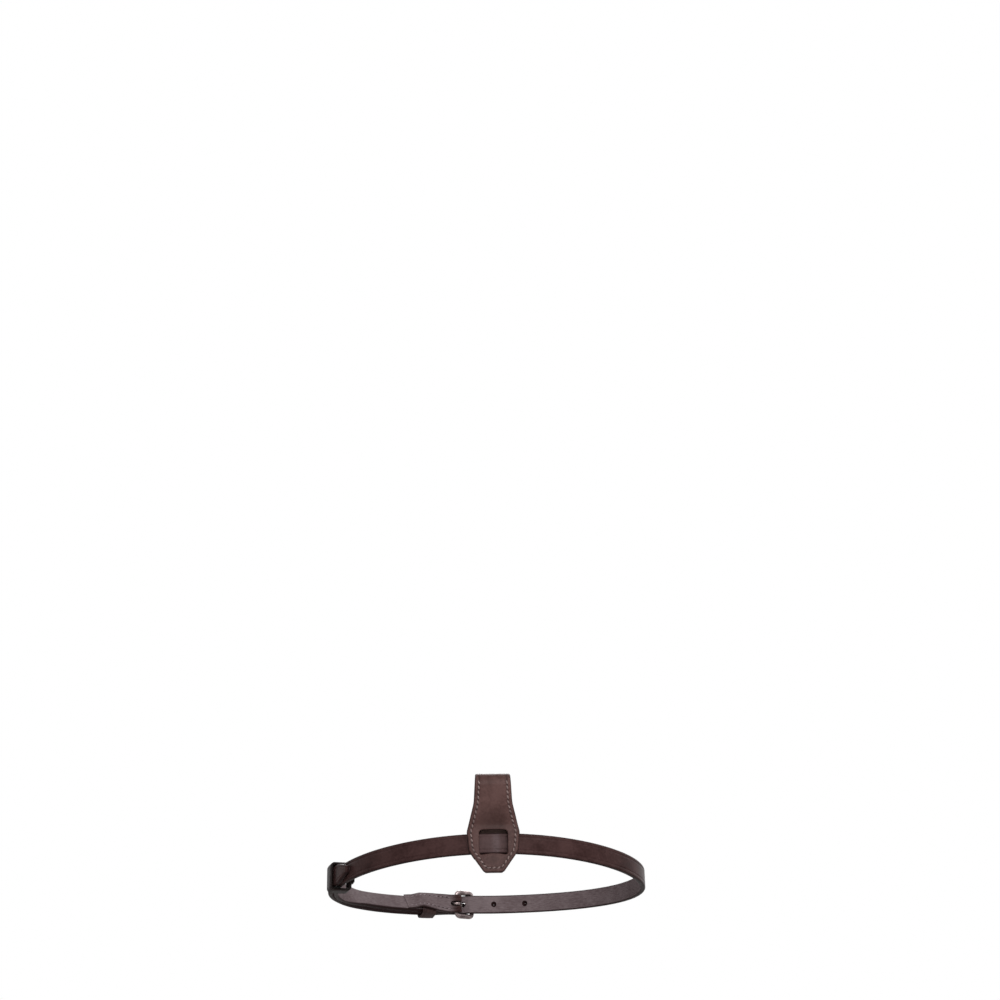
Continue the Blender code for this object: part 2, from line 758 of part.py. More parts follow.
def make_runner_thread():
    """The short seam through the runner keeper's lap."""
    _, lap, _ = runner_levels()
    level = lap - RUNNER_WALL / 2.0 - SEAT_GAP - THREAD_RADIUS
    reach = RUNNER_LAP_HALF_WIDTH - THREAD_DIAMETER
    steps = max(2, math.ceil(2.0 * reach / THREAD_POINT_SPACING))
    points = [on_ring(level, RUNNER_PLACE, reach * (2.0 * step / steps - 1.0)) for step in range(steps + 1)]
    thread = tube("runner_keeper_thread", points, THREAD_DIAMETER, THREAD_BEVEL_RESOLUTION)
    set_origin(thread, RING_CENTRE)
    return finish(thread, "brown_thread")


# The hanger, drawn in its own coordinates: sideways, outward from the ring, and up from the strap


def curved_shield(sideways, outward, up):
    """World point of the hanger's coordinates: its lower part follows the ring, its loop is flat."""
    fade = 1.0 - smooth_step((up - SHIELD_CURVE_FADE_START) / SHIELD_CURVE_FADE_LENGTH)
    radius = RING_RADIUS + outward
    sag = radius - math.sqrt(radius * radius - sideways * sideways)
    return Vector((sideways, LOOP_CENTRE.x - outward + fade * sag, up - LOOP_CENTRE.y))


def bend_shield(item):
    """Bend the lower part of a hanger piece with the ring and put the piece in its place."""
    reach = SHOULDER_HALF_WIDTH
    count = math.ceil(2.0 * reach / HANGER_SLICE)
    places = [-reach + 2.0 * reach * step / count for step in range(1, count)]
    limit = SHIELD_CURVE_FADE_START + SHIELD_CURVE_FADE_LENGTH
    slice_mesh(item, 2, [SHIELD_CURVE_FADE_START, limit])
    highest = limit - WELD_DISTANCE
    slice_mesh(item, 0, places, only=lambda face: min(vertex.co.z for vertex in face.verts) < highest)
    for vertex in item.data.vertices:
        vertex.co = curved_shield(*vertex.co)


def front_leg_corners():
    """Corners of the front of the hanger's leather from its tip up to the fold, outward and up."""
    top = LEAN_FOOT + LEAN_ALONG * (CLOSED_LENGTH + OPENING_HEIGHT + HANGER_THICKNESS / 2.0)
    return [
        (FRONT_LEVEL, -TIP_DROP, 0.0),
        (LEAN_FOOT.x, LEAN_FOOT.y, OPENING_DEPTH),
        (top.x, top.y, (OPENING_DEPTH + HANGER_THICKNESS) / 2.0),
    ]


def hanger_corners():
    """Corners of the whole hanger strip: up the front, over the main noseband and down the back."""
    up_front = front_leg_corners()
    top = Vector(up_front[-1][:2])
    span = LEAN_INWARD * (OPENING_DEPTH + HANGER_THICKNESS)
    back_top = top + span
    back_foot = LEAN_FOOT + span + LEAN_ALONG * (CLOSED_LENGTH + OPENING_BOTTOM_SLOPE)
    seated = LEAN_INWARD * (HANGER_THICKNESS + SEAT_GAP)
    closed_top = LEAN_FOOT + seated + LEAN_ALONG * CLOSED_LENGTH
    step = HANGER_THICKNESS + SEAT_GAP
    closed_bend = Vector((FRONT_LEVEL - step, BEND_HEIGHT + step * math.tan(math.radians(LEAN / 2.0))))
    tail_height = WINDOW_HALF_HEIGHT + BACK_LEG_TAIL
    return up_front + [
        (*back_top, (OPENING_DEPTH + HANGER_THICKNESS) / 2.0),
        (*back_foot, OPENING_DEPTH / 2.0),
        (*closed_top, OPENING_DEPTH / 4.0),
        (*closed_bend, OPENING_DEPTH / 4.0),
        (FRONT_LEVEL - step, tail_height, 0.0),
    ]


def hanger_side():
    """The left-hand edge of the hanger seen from the front, from its top down to its tip."""
    top = LEAN_FOOT.y + OPENING_HEIGHT + 2.0 * OPENING_DEPTH
    top_half_width = TAB_HALF_WIDTH - (top - WAIST_HEIGHT) * math.tan(math.radians(TAB_TAPER))
    return [
        (-top_half_width, top, 0.0),
        (-TAB_HALF_WIDTH, WAIST_HEIGHT, WAIST_HEIGHT),
        (-SHOULDER_HALF_WIDTH, SHOULDER_HEIGHT, SHOULDER_HEIGHT),
        (-HIP_HALF_WIDTH, -HIP_DROP, SHOULDER_HEIGHT),
        (-TIP_HALF_WIDTH, -TIP_DROP, TIP_CORNER_RADIUS),
    ]


def hanger_edge_corners():
    """Corners of the hanger's edge seen from the front: down the left, across the tip and up the right."""
    left = hanger_side()
    right = [(-x, y, radius) for x, y, radius in reversed(left)]
    return left + right


def side_plate(name, outline):
    """A hanger piece drawn on edge as (outward, up) and extruded sideways."""
    reach = SHOULDER_HALF_WIDTH + HANGER_THICKNESS
    item = plate(name, [outline], -reach, reach, PARTS)
    # Turn (outward, up, sideways) to (sideways, outward, up)
    item.data.transform(Matrix(((0, 0, 1, 0), (1, 0, 0, 0), (0, 1, 0, 0), (0, 0, 0, 1))))
    return item


def front_cutter(name, outline, low, high):
    """A cutter drawn from the front as (sideways, up), between two outward levels."""
    item = plate(name, [outline], low, high, CUTTERS)
    # Turn (sideways, up, outward) to (sideways, outward, up)
    item.data.transform(Matrix(((1, 0, 0, 0), (0, 0, 1, 0), (0, 1, 0, 0), (0, 0, 0, 1))))
    item.data.flip_normals()
    return item


def edge_cutter():
    """The hanger's outline from the front, deep enough for every layer of it."""
    return front_cutter("hanger_edge", filleted(hanger_edge_corners()), -OPENING_HEIGHT, OPENING_HEIGHT)


def make_hanger_front():
    """The hanger's outer leather, with the window for the strap."""
    path = filleted(hanger_corners())
    item = side_plate("hanger_front", ribbon_outline(path, [HANGER_THICKNESS] * len(path)))
    apply_boolean(item, edge_cutter(), "INTERSECT")
    window = rounded_box(WINDOW_HALF_WIDTH, WINDOW_HALF_HEIGHT, WINDOW_CORNER_RADIUS)
    apply_boolean(item, front_cutter("window", window, STRAP_HALF, 2.0 * FRONT_LEVEL))
    bend_shield(item)
    return finish(item, "hanger_leather")


def lining_corners():
    """Corners of the lining behind the strap, from its top down to the hanger's tip."""
    step = HANGER_THICKNESS + SEAT_GAP
    half = LINING_THICKNESS / 2.0
    behind_tail = FRONT_LEVEL - step - HANGER_THICKNESS / 2.0 - SEAT_GAP - half
    behind_strap = -(STRAP_HALF + SLOT_FACE_CLEARANCE + half)
    under_front = FRONT_LEVEL - HANGER_THICKNESS / 2.0 - SEAT_GAP - half
    top = BEND_HEIGHT + LINING_TOP_MARGIN
    shelf = WINDOW_HALF_HEIGHT + half
    return [
        (behind_tail, top, 0.0),
        (behind_tail, shelf + half, LINING_THICKNESS),
        (behind_strap, WINDOW_HALF_HEIGHT - half, LINING_THICKNESS),
        (behind_strap, -shelf, LINING_THICKNESS),
        (under_front, -shelf, LINING_THICKNESS),
        (under_front, -TIP_DROP, 0.0),
    ]


def make_hanger_lining():
    """The lining that passes behind the strap and is sewn to the front above and below it."""
    path = filleted(lining_corners())
    item = side_plate("hanger_lining", ribbon_outline(path, [LINING_THICKNESS] * len(path)))
    apply_boolean(item, edge_cutter(), "INTERSECT")
    bend_shield(item)
    return finish(item, "lining_leather")


def make_hanger_thread():
    """The seam down both sides of the hanger and across its tip."""
    middle_line = [(point.y, point.x) for point in filleted(front_leg_corners())]
    edge = hanger_edge_corners()
    top = LEAN_FOOT.y + LEAN_ALONG.y * (CLOSED_LENGTH + OPENING_HEIGHT - OPENING_DEPTH / 2.0)
    inset = offset_path([Vector(corner[:2]) for corner in edge], [HANGER_SEAM_INSET] * len(edge))
    seam = filleted([(point.x, point.y, corner[2]) for point, corner in zip(inset, edge)])
    seam = [point for point in spaced(seam, THREAD_POINT_SPACING) if point.y < top]
    proud = HANGER_THICKNESS / 2.0 + SEAT_GAP + THREAD_RADIUS
    points = []
    for point in seam:
        lean = math.radians(LEAN) * smooth_step((point.y - BEND_HEIGHT) / SHIELD_CURVE_FADE_LENGTH + 0.5)
        outward = interpolate(point.y, middle_line) + proud / math.cos(lean)
        points.append(curved_shield(point.x, outward, point.y))
    thread = tube("hanger_thread", points, THREAD_DIAMETER, THREAD_BEVEL_RESOLUTION)
    return finish(thread, "brown_thread")


def main():
    """Make every piece."""
    make_hanger_front()
    make_hanger_lining()
    make_hanger_thread()
    make_strap()
    make_chape_thread("chape_thread_upper", CHAPE_SEAM_HALF_SPACING)
    make_chape_thread("chape_thread_lower", -CHAPE_SEAM_HALF_SPACING)
    make_buckle_frame()
    make_buckle_tongue()
    make_fixed_keeper()
    make_runner_keeper()
    make_runner_thread()


main()
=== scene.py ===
"""The looks of a flash noseband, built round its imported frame.

A narrow buckled strap runs through a stitched hanger, whose upper part is folded into a loop. Sizes are
in metres. The leather pieces are sheets that follow a route in a plane and are then laid in the world
by a mapping: round the ring that the strap makes, or along the hanger's curved shield.
"""

import json
import logging
import math
from bisect import bisect_right
from collections.abc import Callable, Mapping, Sequence
from dataclasses import dataclass, field, replace
from enum import Enum
from functools import cache
from itertools import pairwise

import bmesh
import bpy
from mathutils import Matrix, Vector


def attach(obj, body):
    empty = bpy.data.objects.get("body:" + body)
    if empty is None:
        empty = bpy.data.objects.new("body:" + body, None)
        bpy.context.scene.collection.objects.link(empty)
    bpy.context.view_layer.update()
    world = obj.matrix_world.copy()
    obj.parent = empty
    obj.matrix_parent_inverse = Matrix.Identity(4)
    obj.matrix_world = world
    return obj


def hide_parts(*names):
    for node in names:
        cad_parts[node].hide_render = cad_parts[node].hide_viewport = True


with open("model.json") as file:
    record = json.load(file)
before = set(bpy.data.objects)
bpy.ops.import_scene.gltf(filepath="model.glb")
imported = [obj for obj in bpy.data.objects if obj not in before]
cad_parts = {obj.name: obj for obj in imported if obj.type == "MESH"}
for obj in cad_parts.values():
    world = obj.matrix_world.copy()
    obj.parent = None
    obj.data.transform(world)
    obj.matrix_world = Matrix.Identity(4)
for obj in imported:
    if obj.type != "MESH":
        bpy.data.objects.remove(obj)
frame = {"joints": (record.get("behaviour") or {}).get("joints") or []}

LOG = logging.getLogger("noseband")

Corner = tuple[float, float, float]
Colour = tuple[float, float, float]
Band = tuple[float, float]
Line = Sequence[tuple[float, float]]
Place = tuple[float, float, float, float]
SeamLine = list[tuple[Vector, Vector]]
Spot = Callable[[Vector, float], Vector]


class Body(Enum):
    """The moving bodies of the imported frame."""

    HANGER = "hanger"
    STRAP = "strap"
    BUCKLE = "buckle"
    TONGUE = "tongue"
    RUNNER = "runner"


class Slot(Enum):
    """The record's material slots."""

    HANGER = "hanger_leather"
    LINING = "lining_leather"
    STRAP = "dark_brown_leather"
    METAL = "buckle_metal"
    THREAD = "brown_thread"


# Numbers, lines and routes

STRAIGHT_TURN = 1.0  # degrees: a corner that turns less is left as it is
FILLET_REACH = 0.49  # the most of a side that the arc at one of its ends may take


def srgb(*levels: int) -> Colour:
    """The linear colour of an sRGB one, whose red, green and blue go from 0 to 255."""
    shares = (level / 255.0 for level in levels)
    return tuple(share / 12.92 if share <= 0.04045 else ((share + 0.055) / 1.055) ** 2.4 for share in shares)


def shaded(colour: Colour, gain: float) -> Colour:
    """A colour made darker or lighter by a factor."""
    return tuple(gain * level for level in colour)


def clamped(value: float) -> float:
    """A value held between 0 and 1."""
    return min(1.0, max(0.0, value))


def smooth_step(value: float) -> float:
    """0 below 0, 1 above 1 and an even rise between."""
    value = clamped(value)
    return value * value * (3.0 - 2.0 * value)


def interpolate(points: Line, value: float) -> float:
    """Height of a line at a place along it.

    Args:
        points: The line's (x, height) points, which rise in x.
        value: The x at which the height is asked for.

    Returns:
        The height there, and beyond an end the height of that end.
    """
    if value <= points[0][0]:
        return points[0][1]
    for (x0, y0), (x1, y1) in pairwise(points):
        if value <= x1:
            return y0 + (y1 - y0) * (value - x0) / (x1 - x0)
    return points[-1][1]


def spaced(start: float, end: float, steps: int) -> list[float]:
    """Evenly spaced values from a start to an end, both of them included."""
    return [start + (end - start) * step / steps for step in range(steps + 1)]


def filleted(corners: Sequence[Corner], closed: bool = False, arc_step: float = 10.0) -> list[Vector]:
    """Round the corners of a line with arcs.

    Args:
        corners: The corners as (x, y, radius).
        closed: Whether the last corner joins the first.
        arc_step: Degrees between the points of an arc.

    Returns:
        The points of the rounded line.
    """
    count = len(corners)
    points = []
    for index, (x, y, radius) in enumerate(corners):
        here = Vector((x, y))
        if radius <= 0.0 or (not closed and index in (0, count - 1)):
            points.append(here)
            continue
        before = Vector(corners[index - 1][:2]) - here
        after = Vector(corners[(index + 1) % count][:2]) - here
        half_angle = before.angle(after) / 2.0
        turn = math.pi - 2.0 * half_angle
        if turn < math.radians(STRAIGHT_TURN):
            points.append(here)
            continue
        reach = FILLET_REACH * min(before.length, after.length)
        radius = min(radius, reach * math.tan(half_angle))
        first = before.normalized() * radius / math.tan(half_angle)
        last = after.normalized() * radius / math.tan(half_angle)
        centre = (before.normalized() + after.normalized()).normalized() * radius / math.sin(half_angle)
        steps = max(2, math.ceil(turn / math.radians(arc_step)))
        sign = 1.0 if (first - centre).cross(last - centre) > 0.0 else -1.0
        for step in range(steps + 1):
            spoke = first - centre
            spoke.rotate(Matrix.Rotation(sign * turn * step / steps, 2))
            points.append(here + centre + spoke)
    return points


@dataclass
class Route:
    """A line in a plane, measured by the distance along it, whose normals turn evenly at its corners."""

    points: Sequence[Vector]
    ease: float = 0.0004
    marks: list[float] = field(init=False)
    normals: list[Vector] = field(init=False)

    def __post_init__(self) -> None:
        """Measure the line and find its left-hand normals."""
        self.marks = [0.0]
        self.normals = []
        for start, end in pairwise(self.points):
            self.marks.append(self.marks[-1] + (end - start).length)
            way = (end - start).normalized()
            self.normals.append(Vector((-way.y, way.x)))

    @property
    def length(self) -> float:
        """The length of the whole line."""
        return self.marks[-1]

    def at(self, along: float) -> tuple[Vector, Vector]:
        """The point and the left-hand normal at a distance along the line.

        Args:
            along: The distance from the line's start.

        Returns:
            The point, and a unit normal that is shared out evenly where the line turns.
        """
        index = min(max(bisect_right(self.marks, along) - 1, 0), len(self.normals) - 1)
        low, high = self.marks[index], self.marks[index + 1]
        share = (along - low) / (high - low)
        point = self.points[index].lerp(self.points[index + 1], share)
        reach = min(self.ease, (high - low) / 2.0)
        normal = self.normals[index]
        for gap, beside in ((along - low, index - 1), (high - along, index + 1)):
            if gap < reach and 0 <= beside < len(self.normals):
                mean = (self.normals[beside] + normal).normalized()
                return point, mean.lerp(normal, max(0.0, gap) / reach).normalized()
        return point, normal.normalized()


@dataclass(frozen=True)
class Ring:
    """The loop that the buckled strap makes, with its rise and its twist on the way round."""

    centre: Vector
    girth: float = 0.604
    front_rise: float = 0.0062
    back_rise: float = 0.0031
    front_angle: float = 270.0
    bar_angle: float = 102.5
    twist_peak: float = 34.0
    twist_start: float = 104.0
    twist_full: float = 120.0
    twist_ease: float = 146.0
    twist_end: float = 169.0
    probe: float = 0.001

    @property
    def radius(self) -> float:
        """The radius of the middle of the leather."""
        return self.girth / math.tau

    def place(self, angle: float) -> float:
        """The distance along the strap from the buckle's bar to a ring angle in degrees."""
        return self.radius * math.radians(angle - self.bar_angle)

    def twist(self, angle: float) -> float:
        """The strap's lean about its own length.

        Args:
            angle: The ring angle in degrees.

        Returns:
            The lean in radians.
        """
        angle %= 360.0
        gain = smooth_step((angle - self.twist_start) / (self.twist_full - self.twist_start))
        loss = smooth_step((angle - self.twist_ease) / (self.twist_end - self.twist_ease))
        return math.radians(self.twist_peak) * (gain - loss)

    def rise(self, angle: float) -> float:
        """The strap's height above its lowest places at a ring angle in degrees."""
        forward = math.cos(math.radians(angle - self.front_angle))
        return (self.front_rise if forward > 0.0 else self.back_rise) * forward * forward

    def spot(self, level: float, place: float, across: float) -> Vector:
        """The world point of the strap's own coordinates.

        Args:
            level: The height outward from the middle of the leather.
            place: The distance along the strap from the buckle's bar.
            across: The distance across the strap, upward.

        Returns:
            The point in the world.
        """
        angle = self.bar_angle + math.degrees(place / self.radius)
        turn = math.radians(angle)
        spoke = Vector((math.cos(turn), math.sin(turn), 0.0))
        up = Vector((0.0, 0.0, 1.0))
        twist = self.twist(angle)
        outward = spoke * math.cos(twist) - up * math.sin(twist)
        upward = up * math.cos(twist) + spoke * math.sin(twist)
        middle = self.centre + spoke * self.radius + up * self.rise(angle)
        return middle + outward * level + upward * across

    def seam_point(self, level: float, place: float, across: float) -> tuple[Vector, Vector]:
        """The point that spot gives on a leather's inner side, with the direction off the leather."""
        here = self.spot(level, place, across)
        return here, (self.spot(level - self.probe, place, across) - here).normalized()


# Node trees


def operator(operation: str, reflected: bool = False) -> Callable[["Wire", "Wire | float"], "Wire"]:
    """One of Python's operators on wires.

    Args:
        operation: The Math node's operation.
        reflected: Whether the wire is the second value.

    Returns:
        The method that makes the node.
    """

    def method(wire: "Wire", other: "Wire | float") -> "Wire":
        """The result of the operation on a wire and another value."""
        pair = (other, wire) if reflected else (wire, other)
        return wire.tree.math(operation, *pair)

    return method


@dataclass(frozen=True)
class Wire:
    """An output socket of a node tree, on which Python's operators make Math nodes."""

    tree: "Tree"
    socket: bpy.types.NodeSocket | None

    __add__ = __radd__ = operator("ADD")
    __sub__ = operator("SUBTRACT")
    __rsub__ = operator("SUBTRACT", reflected=True)
    __mul__ = __rmul__ = operator("MULTIPLY")

    def __abs__(self) -> "Wire":
        """The value without its sign."""
        return self.tree.math("ABSOLUTE", self, 0.0)


class Tree:
    """A node tree with one method that makes its nodes."""

    def __init__(self, nodes: bpy.types.NodeTree) -> None:
        """Empty a Blender tree and wrap it."""
        self.nodes = nodes
        nodes.nodes.clear()

    def node(
        self,
        kind: str,
        settings: Mapping[str, object] | None = None,
        inputs: Mapping[str | int, object] | None = None,
        output: str | int = 0,
    ) -> Wire:
        """Make a node, set it and link it.

        Args:
            kind: The node's type.
            settings: Its properties, which are set first.
            inputs: The value or the wire of each of its sockets, by name or by number.
            output: The output that is returned, by name or by number.

        Returns:
            The output as a wire.
        """
        made = self.nodes.nodes.new(kind)
        for name, value in (settings or {}).items():
            setattr(made, name, value)
        for name, value in (inputs or {}).items():
            if isinstance(value, Wire):
                self.nodes.links.new(value.socket, made.inputs[name])
            else:
                made.inputs[name].default_value = value
        return Wire(self, made.outputs[output]) if made.outputs else Wire(self, None)

    def math(self, operation: str, first: Wire | float, second: Wire | float) -> Wire:
        """The result of one Math node."""
        return self.node("ShaderNodeMath", {"operation": operation}, {0: first, 1: second})

    def ramp(self, value: Wire, low: float, high: float) -> Wire:
        """A value brought to 0 at one level and to 1 at another, with an even rise between."""
        settings = {"interpolation_type": "SMOOTHSTEP"}
        return self.node("ShaderNodeMapRange", settings, {"Value": value, "From Min": low, "From Max": high})

    def mix(self, factor: Wire, first: Colour | Wire, second: Colour | Wire) -> Wire:
        """A colour between two others.

        Args:
            factor: 0 for the first colour and 1 for the second.
            first: A colour or a colour wire.
            second: A colour or a colour wire.

        Returns:
            The mixed colour.
        """
        inputs = {0: factor}
        for number, colour in ((6, first), (7, second)):
            inputs[number] = colour if isinstance(colour, Wire) else (*colour, 1.0)
        return self.node("ShaderNodeMix", {"data_type": "RGBA"}, inputs, 2)

    def attribute(self, name: str) -> Wire:
        """A number that the mesh carries."""
        return self.node("ShaderNodeAttribute", {"attribute_name": name}, output="Fac")

    def object_place(self) -> Wire:
        """The place on the object."""
        return self.node("ShaderNodeTexCoord", output="Object")

    def noise(self, place: Wire, scale: float, detail: float = 3.0, roughness: float = 0.5) -> Wire:
        """Soft noise from 0 to 1, with so many lumps for each metre and so many octaves of detail."""
        inputs = {"Vector": place, "Scale": scale, "Detail": detail, "Roughness": roughness}
        return self.node("ShaderNodeTexNoise", None, inputs)

    def stretched(self, place: Wire, scale: tuple[float, float, float]) -> Wire:
        """The place multiplied by a factor on each axis."""
        return self.node("ShaderNodeMapping", None, {"Vector": place, "Scale": scale})

    def ray(self, kind: str) -> Wire:
        """1 for rays of a kind, such as Camera or Glossy, and 0 for others."""
        return self.node("ShaderNodeLightPath", output=f"Is {kind} Ray")

    def bump(self, height: Wire) -> Wire:
        """The normal of a surface whose height is given in metres."""
        return self.node("ShaderNodeBump", None, {"Strength": 1.0, "Distance": 1.0, "Height": height})

    def principled(self, inputs: Mapping[str | int, object]) -> Wire:
        """A Principled shader with the values or the wires of its sockets."""
        return self.node("ShaderNodeBsdfPrincipled", None, inputs)


# Finishes


@dataclass(frozen=True)
class Surface:
    """A finish, whose kinds each say how their shader is made."""

    name: str

    def material(self) -> bpy.types.Material:
        """Build the material.

        Returns:
            The finished material.
        """
        material = bpy.data.materials.new(self.name)
        material.use_nodes = True
        tree = Tree(material.node_tree)
        tree.node("ShaderNodeOutputMaterial", None, {"Surface": self.shader(tree)})
        return material

    def shader(self, tree: Tree) -> Wire:
        """The shader of this kind of finish, made in the material's tree."""
        raise NotImplementedError


@dataclass(frozen=True)
class Leather(Surface):
    """Bridle leather: a dyed grain side, a burnished edge and a fibrous flesh side.

    The mesh says where each shows: "facing" is 1 on the grain side, -1 on the flesh side and between
    them round the edge, and "rim" is the distance from the nearest cut edge. One more number is 1 where
    the grain shows the flesh colour, which is real wear on the strap's folded-back leather and a painted
    highlight where the strap shows in the hanger's window, and another is the painted shade that darkens
    the hanger's grain. A band is the levels at which something starts to show and shows in full, a share
    is how much of it shows, a gain makes a colour darker or lighter, and a depth is a height in metres.
    """

    grain: Colour
    deep: Colour
    edge: Colour
    flesh: Colour
    flesh_deep: Colour
    seam_inset: float = 0.0
    seam_half: float = 0.0005
    seam_band: Band = (0.4, 1.6)
    # how much painted shade darkens the seam's groove
    seam_shade_share: float = 0.6
    seam_shade_gain: float = 0.55
    seam_depth: float = 0.00012
    border: float = 0.0
    border_band: Band = (0.6, 1.3)
    border_on_grain: float = 0.45
    border_on_flesh: float = 0.75
    mottle_scale: float = 70.0
    mottle_band: Band = (0.34, 0.62)
    fine_ratio: float = 9.0
    fine_share: float = 0.3
    fine_depth: float = 0.00006
    pore_scale: float = 1900.0
    pore_depth: float = 0.000035
    fibre_scale: tuple[float, float, float] = (260.0, 1500.0, 1.0)
    fibre_band: Band = (0.36, 0.62)
    fibre_share: float = 0.6
    fibre_depth: float = 0.00016
    grain_band: Band = (0.35, 0.8)
    flesh_band: Band = (-0.9, -0.55)
    # how much the painted shade darkens the grain
    painted_shade_share: float = 0.7
    painted_shade_gain: float = 0.6
    wear_reach: Band = (0.0004, 0.0016)
    wear_band: Band = (0.42, 0.62)
    wear_share: float = 0.25
    wear_gain: float = 1.4
    roughness: float = 0.42
    roughness_spread: float = 0.16
    flesh_roughness: float = 0.32
    specular: float = 0.11
    relief: float = 1.0

    def shader(self, tree: Tree) -> Wire:
        """Mix the grain side, the edge and the flesh side.

        Args:
            tree: The material's tree.

        Returns:
            The shader.
        """
        place, facing, rim = tree.object_place(), tree.attribute("facing"), tree.attribute("rim")
        mottle = tree.noise(place, self.mottle_scale, detail=4.0, roughness=0.6)
        fine = tree.noise(place, self.mottle_scale * self.fine_ratio, roughness=0.6)
        cells = {"Vector": place, "Scale": self.pore_scale}
        pores = tree.node("ShaderNodeTexVoronoi", {"feature": "F1"}, cells, "Distance")
        lengthwise = tree.stretched(tree.node("ShaderNodeUVMap"), self.fibre_scale)
        fibres = tree.noise(lengthwise, 1.0, detail=4.0, roughness=0.65)
        tuft = tree.ramp(fibres * self.fibre_share + mottle * (1.0 - self.fibre_share), *self.fibre_band)
        flesh = tree.mix(tuft, self.flesh_deep, self.flesh)

        on_grain = tree.ramp(facing, *self.grain_band)
        on_flesh = 1.0 - tree.ramp(facing, *self.flesh_band)
        # flesh colour on the grain: real wear on the folded-back leather, and a painted highlight in the
        # hanger's slot
        wear_and_painted_highlight = tree.attribute("wear_and_painted_highlight") * on_grain
        tone = tree.ramp(mottle * (1.0 - self.fine_share) + fine * self.fine_share, *self.mottle_band)
        grain = tree.mix(tone, self.deep, self.grain)
        # painted shade: the grain is darkened by the mesh's shade number
        painted_shade = tree.attribute("painted_shade") * self.painted_shade_share
        grain = tree.mix(painted_shade, grain, shaded(self.deep, self.painted_shade_gain))
        wear = (1.0 - tree.ramp(rim, *self.wear_reach)) * tree.ramp(fine, *self.wear_band) * self.wear_share
        grain = tree.mix(wear, grain, shaded(self.grain, self.wear_gain))
        # seam groove: dents the bump, and darkens the grain as painted shade in the groove
        seam_groove_and_shade = 0.0
        if self.seam_inset > 0.0:
            low, high = (self.seam_half * share for share in self.seam_band)
            seam_groove_and_shade = 1.0 - tree.ramp(abs(rim - self.seam_inset), low, high)
            grain = tree.mix(seam_groove_and_shade * self.seam_shade_share, grain, shaded(self.deep, self.seam_shade_gain))
        if self.border > 0.0:
            low, high = (self.border * share for share in self.border_band)
            stained = 1.0 - tree.ramp(rim, low, high)
            grain = tree.mix(stained * self.border_on_grain, grain, self.edge)
            flesh = tree.mix(stained * self.border_on_flesh, flesh, self.edge)
        colour = tree.mix(on_grain, self.edge, tree.mix(wear_and_painted_highlight, grain, flesh))
        colour = tree.mix(on_flesh, colour, flesh)

        fibrous = on_flesh + wear_and_painted_highlight
        grain_height = ((0.5 - pores) * self.pore_depth + fine * self.fine_depth) * self.relief
        height = grain_height * (1.0 - fibrous) + fibres * self.fibre_depth * fibrous
        roughness = self.roughness + (mottle - 0.5) * self.roughness_spread + fibrous * self.flesh_roughness
        return tree.principled(
            {
                "Base Color": colour,
                "Roughness": roughness,
                "Normal": tree.bump(height - seam_groove_and_shade * self.seam_depth),
                "Specular IOR Level": self.specular,
            }
        )


@dataclass(frozen=True)
class Metal(Surface):
    """Dark satin metal with fine rubbing marks."""

    colour: Colour
    worn: Colour
    cloud_scale: float = 260.0
    worn_band: Band = (0.36, 0.66)
    rub_scale: tuple[float, float, float] = (700.0, 700.0, 5200.0)
    rub_depth: float = 0.00001
    roughness: float = 0.3
    rub_roughness: float = 0.25
    cloud_roughness: float = 0.15

    def shader(self, tree: Tree) -> Wire:
        """Mix the dark and the worn metal.

        Args:
            tree: The material's tree.

        Returns:
            The shader.
        """
        place = tree.object_place()
        cloud = tree.noise(place, self.cloud_scale, detail=4.0, roughness=0.6)
        rub = tree.noise(tree.stretched(place, self.rub_scale), 1.0, roughness=0.6)
        spread = (rub - 0.5) * self.rub_roughness + (cloud - 0.5) * self.cloud_roughness
        return tree.principled(
            {
                "Base Color": tree.mix(tree.ramp(cloud, *self.worn_band), self.colour, self.worn),
                "Metallic": 1.0,
                "Roughness": self.roughness + spread,
                "Normal": tree.bump(rub * self.rub_depth),
            }
        )


@dataclass(frozen=True)
class Thread(Surface):
    """Waxed sewing thread with a twist of fine strands."""

    colour: Colour
    deep: Colour
    strand_scale: float = 3800.0
    strand_depth: float = 0.00008
    soil_scale: float = 160.0
    soil_band: Band = (0.38, 0.6)
    roughness: float = 0.62
    soil_roughness: float = 0.2
    specular: float = 0.3

    def shader(self, tree: Tree) -> Wire:
        """Mix the clean and the soiled thread.

        Args:
            tree: The material's tree.

        Returns:
            The shader.
        """
        place = tree.object_place()
        strands = tree.noise(place, self.strand_scale, detail=2.0)
        soil = tree.noise(place, self.soil_scale, roughness=0.6)
        clean = tree.ramp(strands * 0.5 + soil * 0.5, *self.soil_band)
        return tree.principled(
            {
                "Base Color": tree.mix(clean, self.deep, self.colour),
                "Roughness": self.roughness + (soil - 0.5) * self.soil_roughness,
                "Normal": tree.bump(strands * self.strand_depth),
                "Specular IOR Level": self.specular,
            }
        )


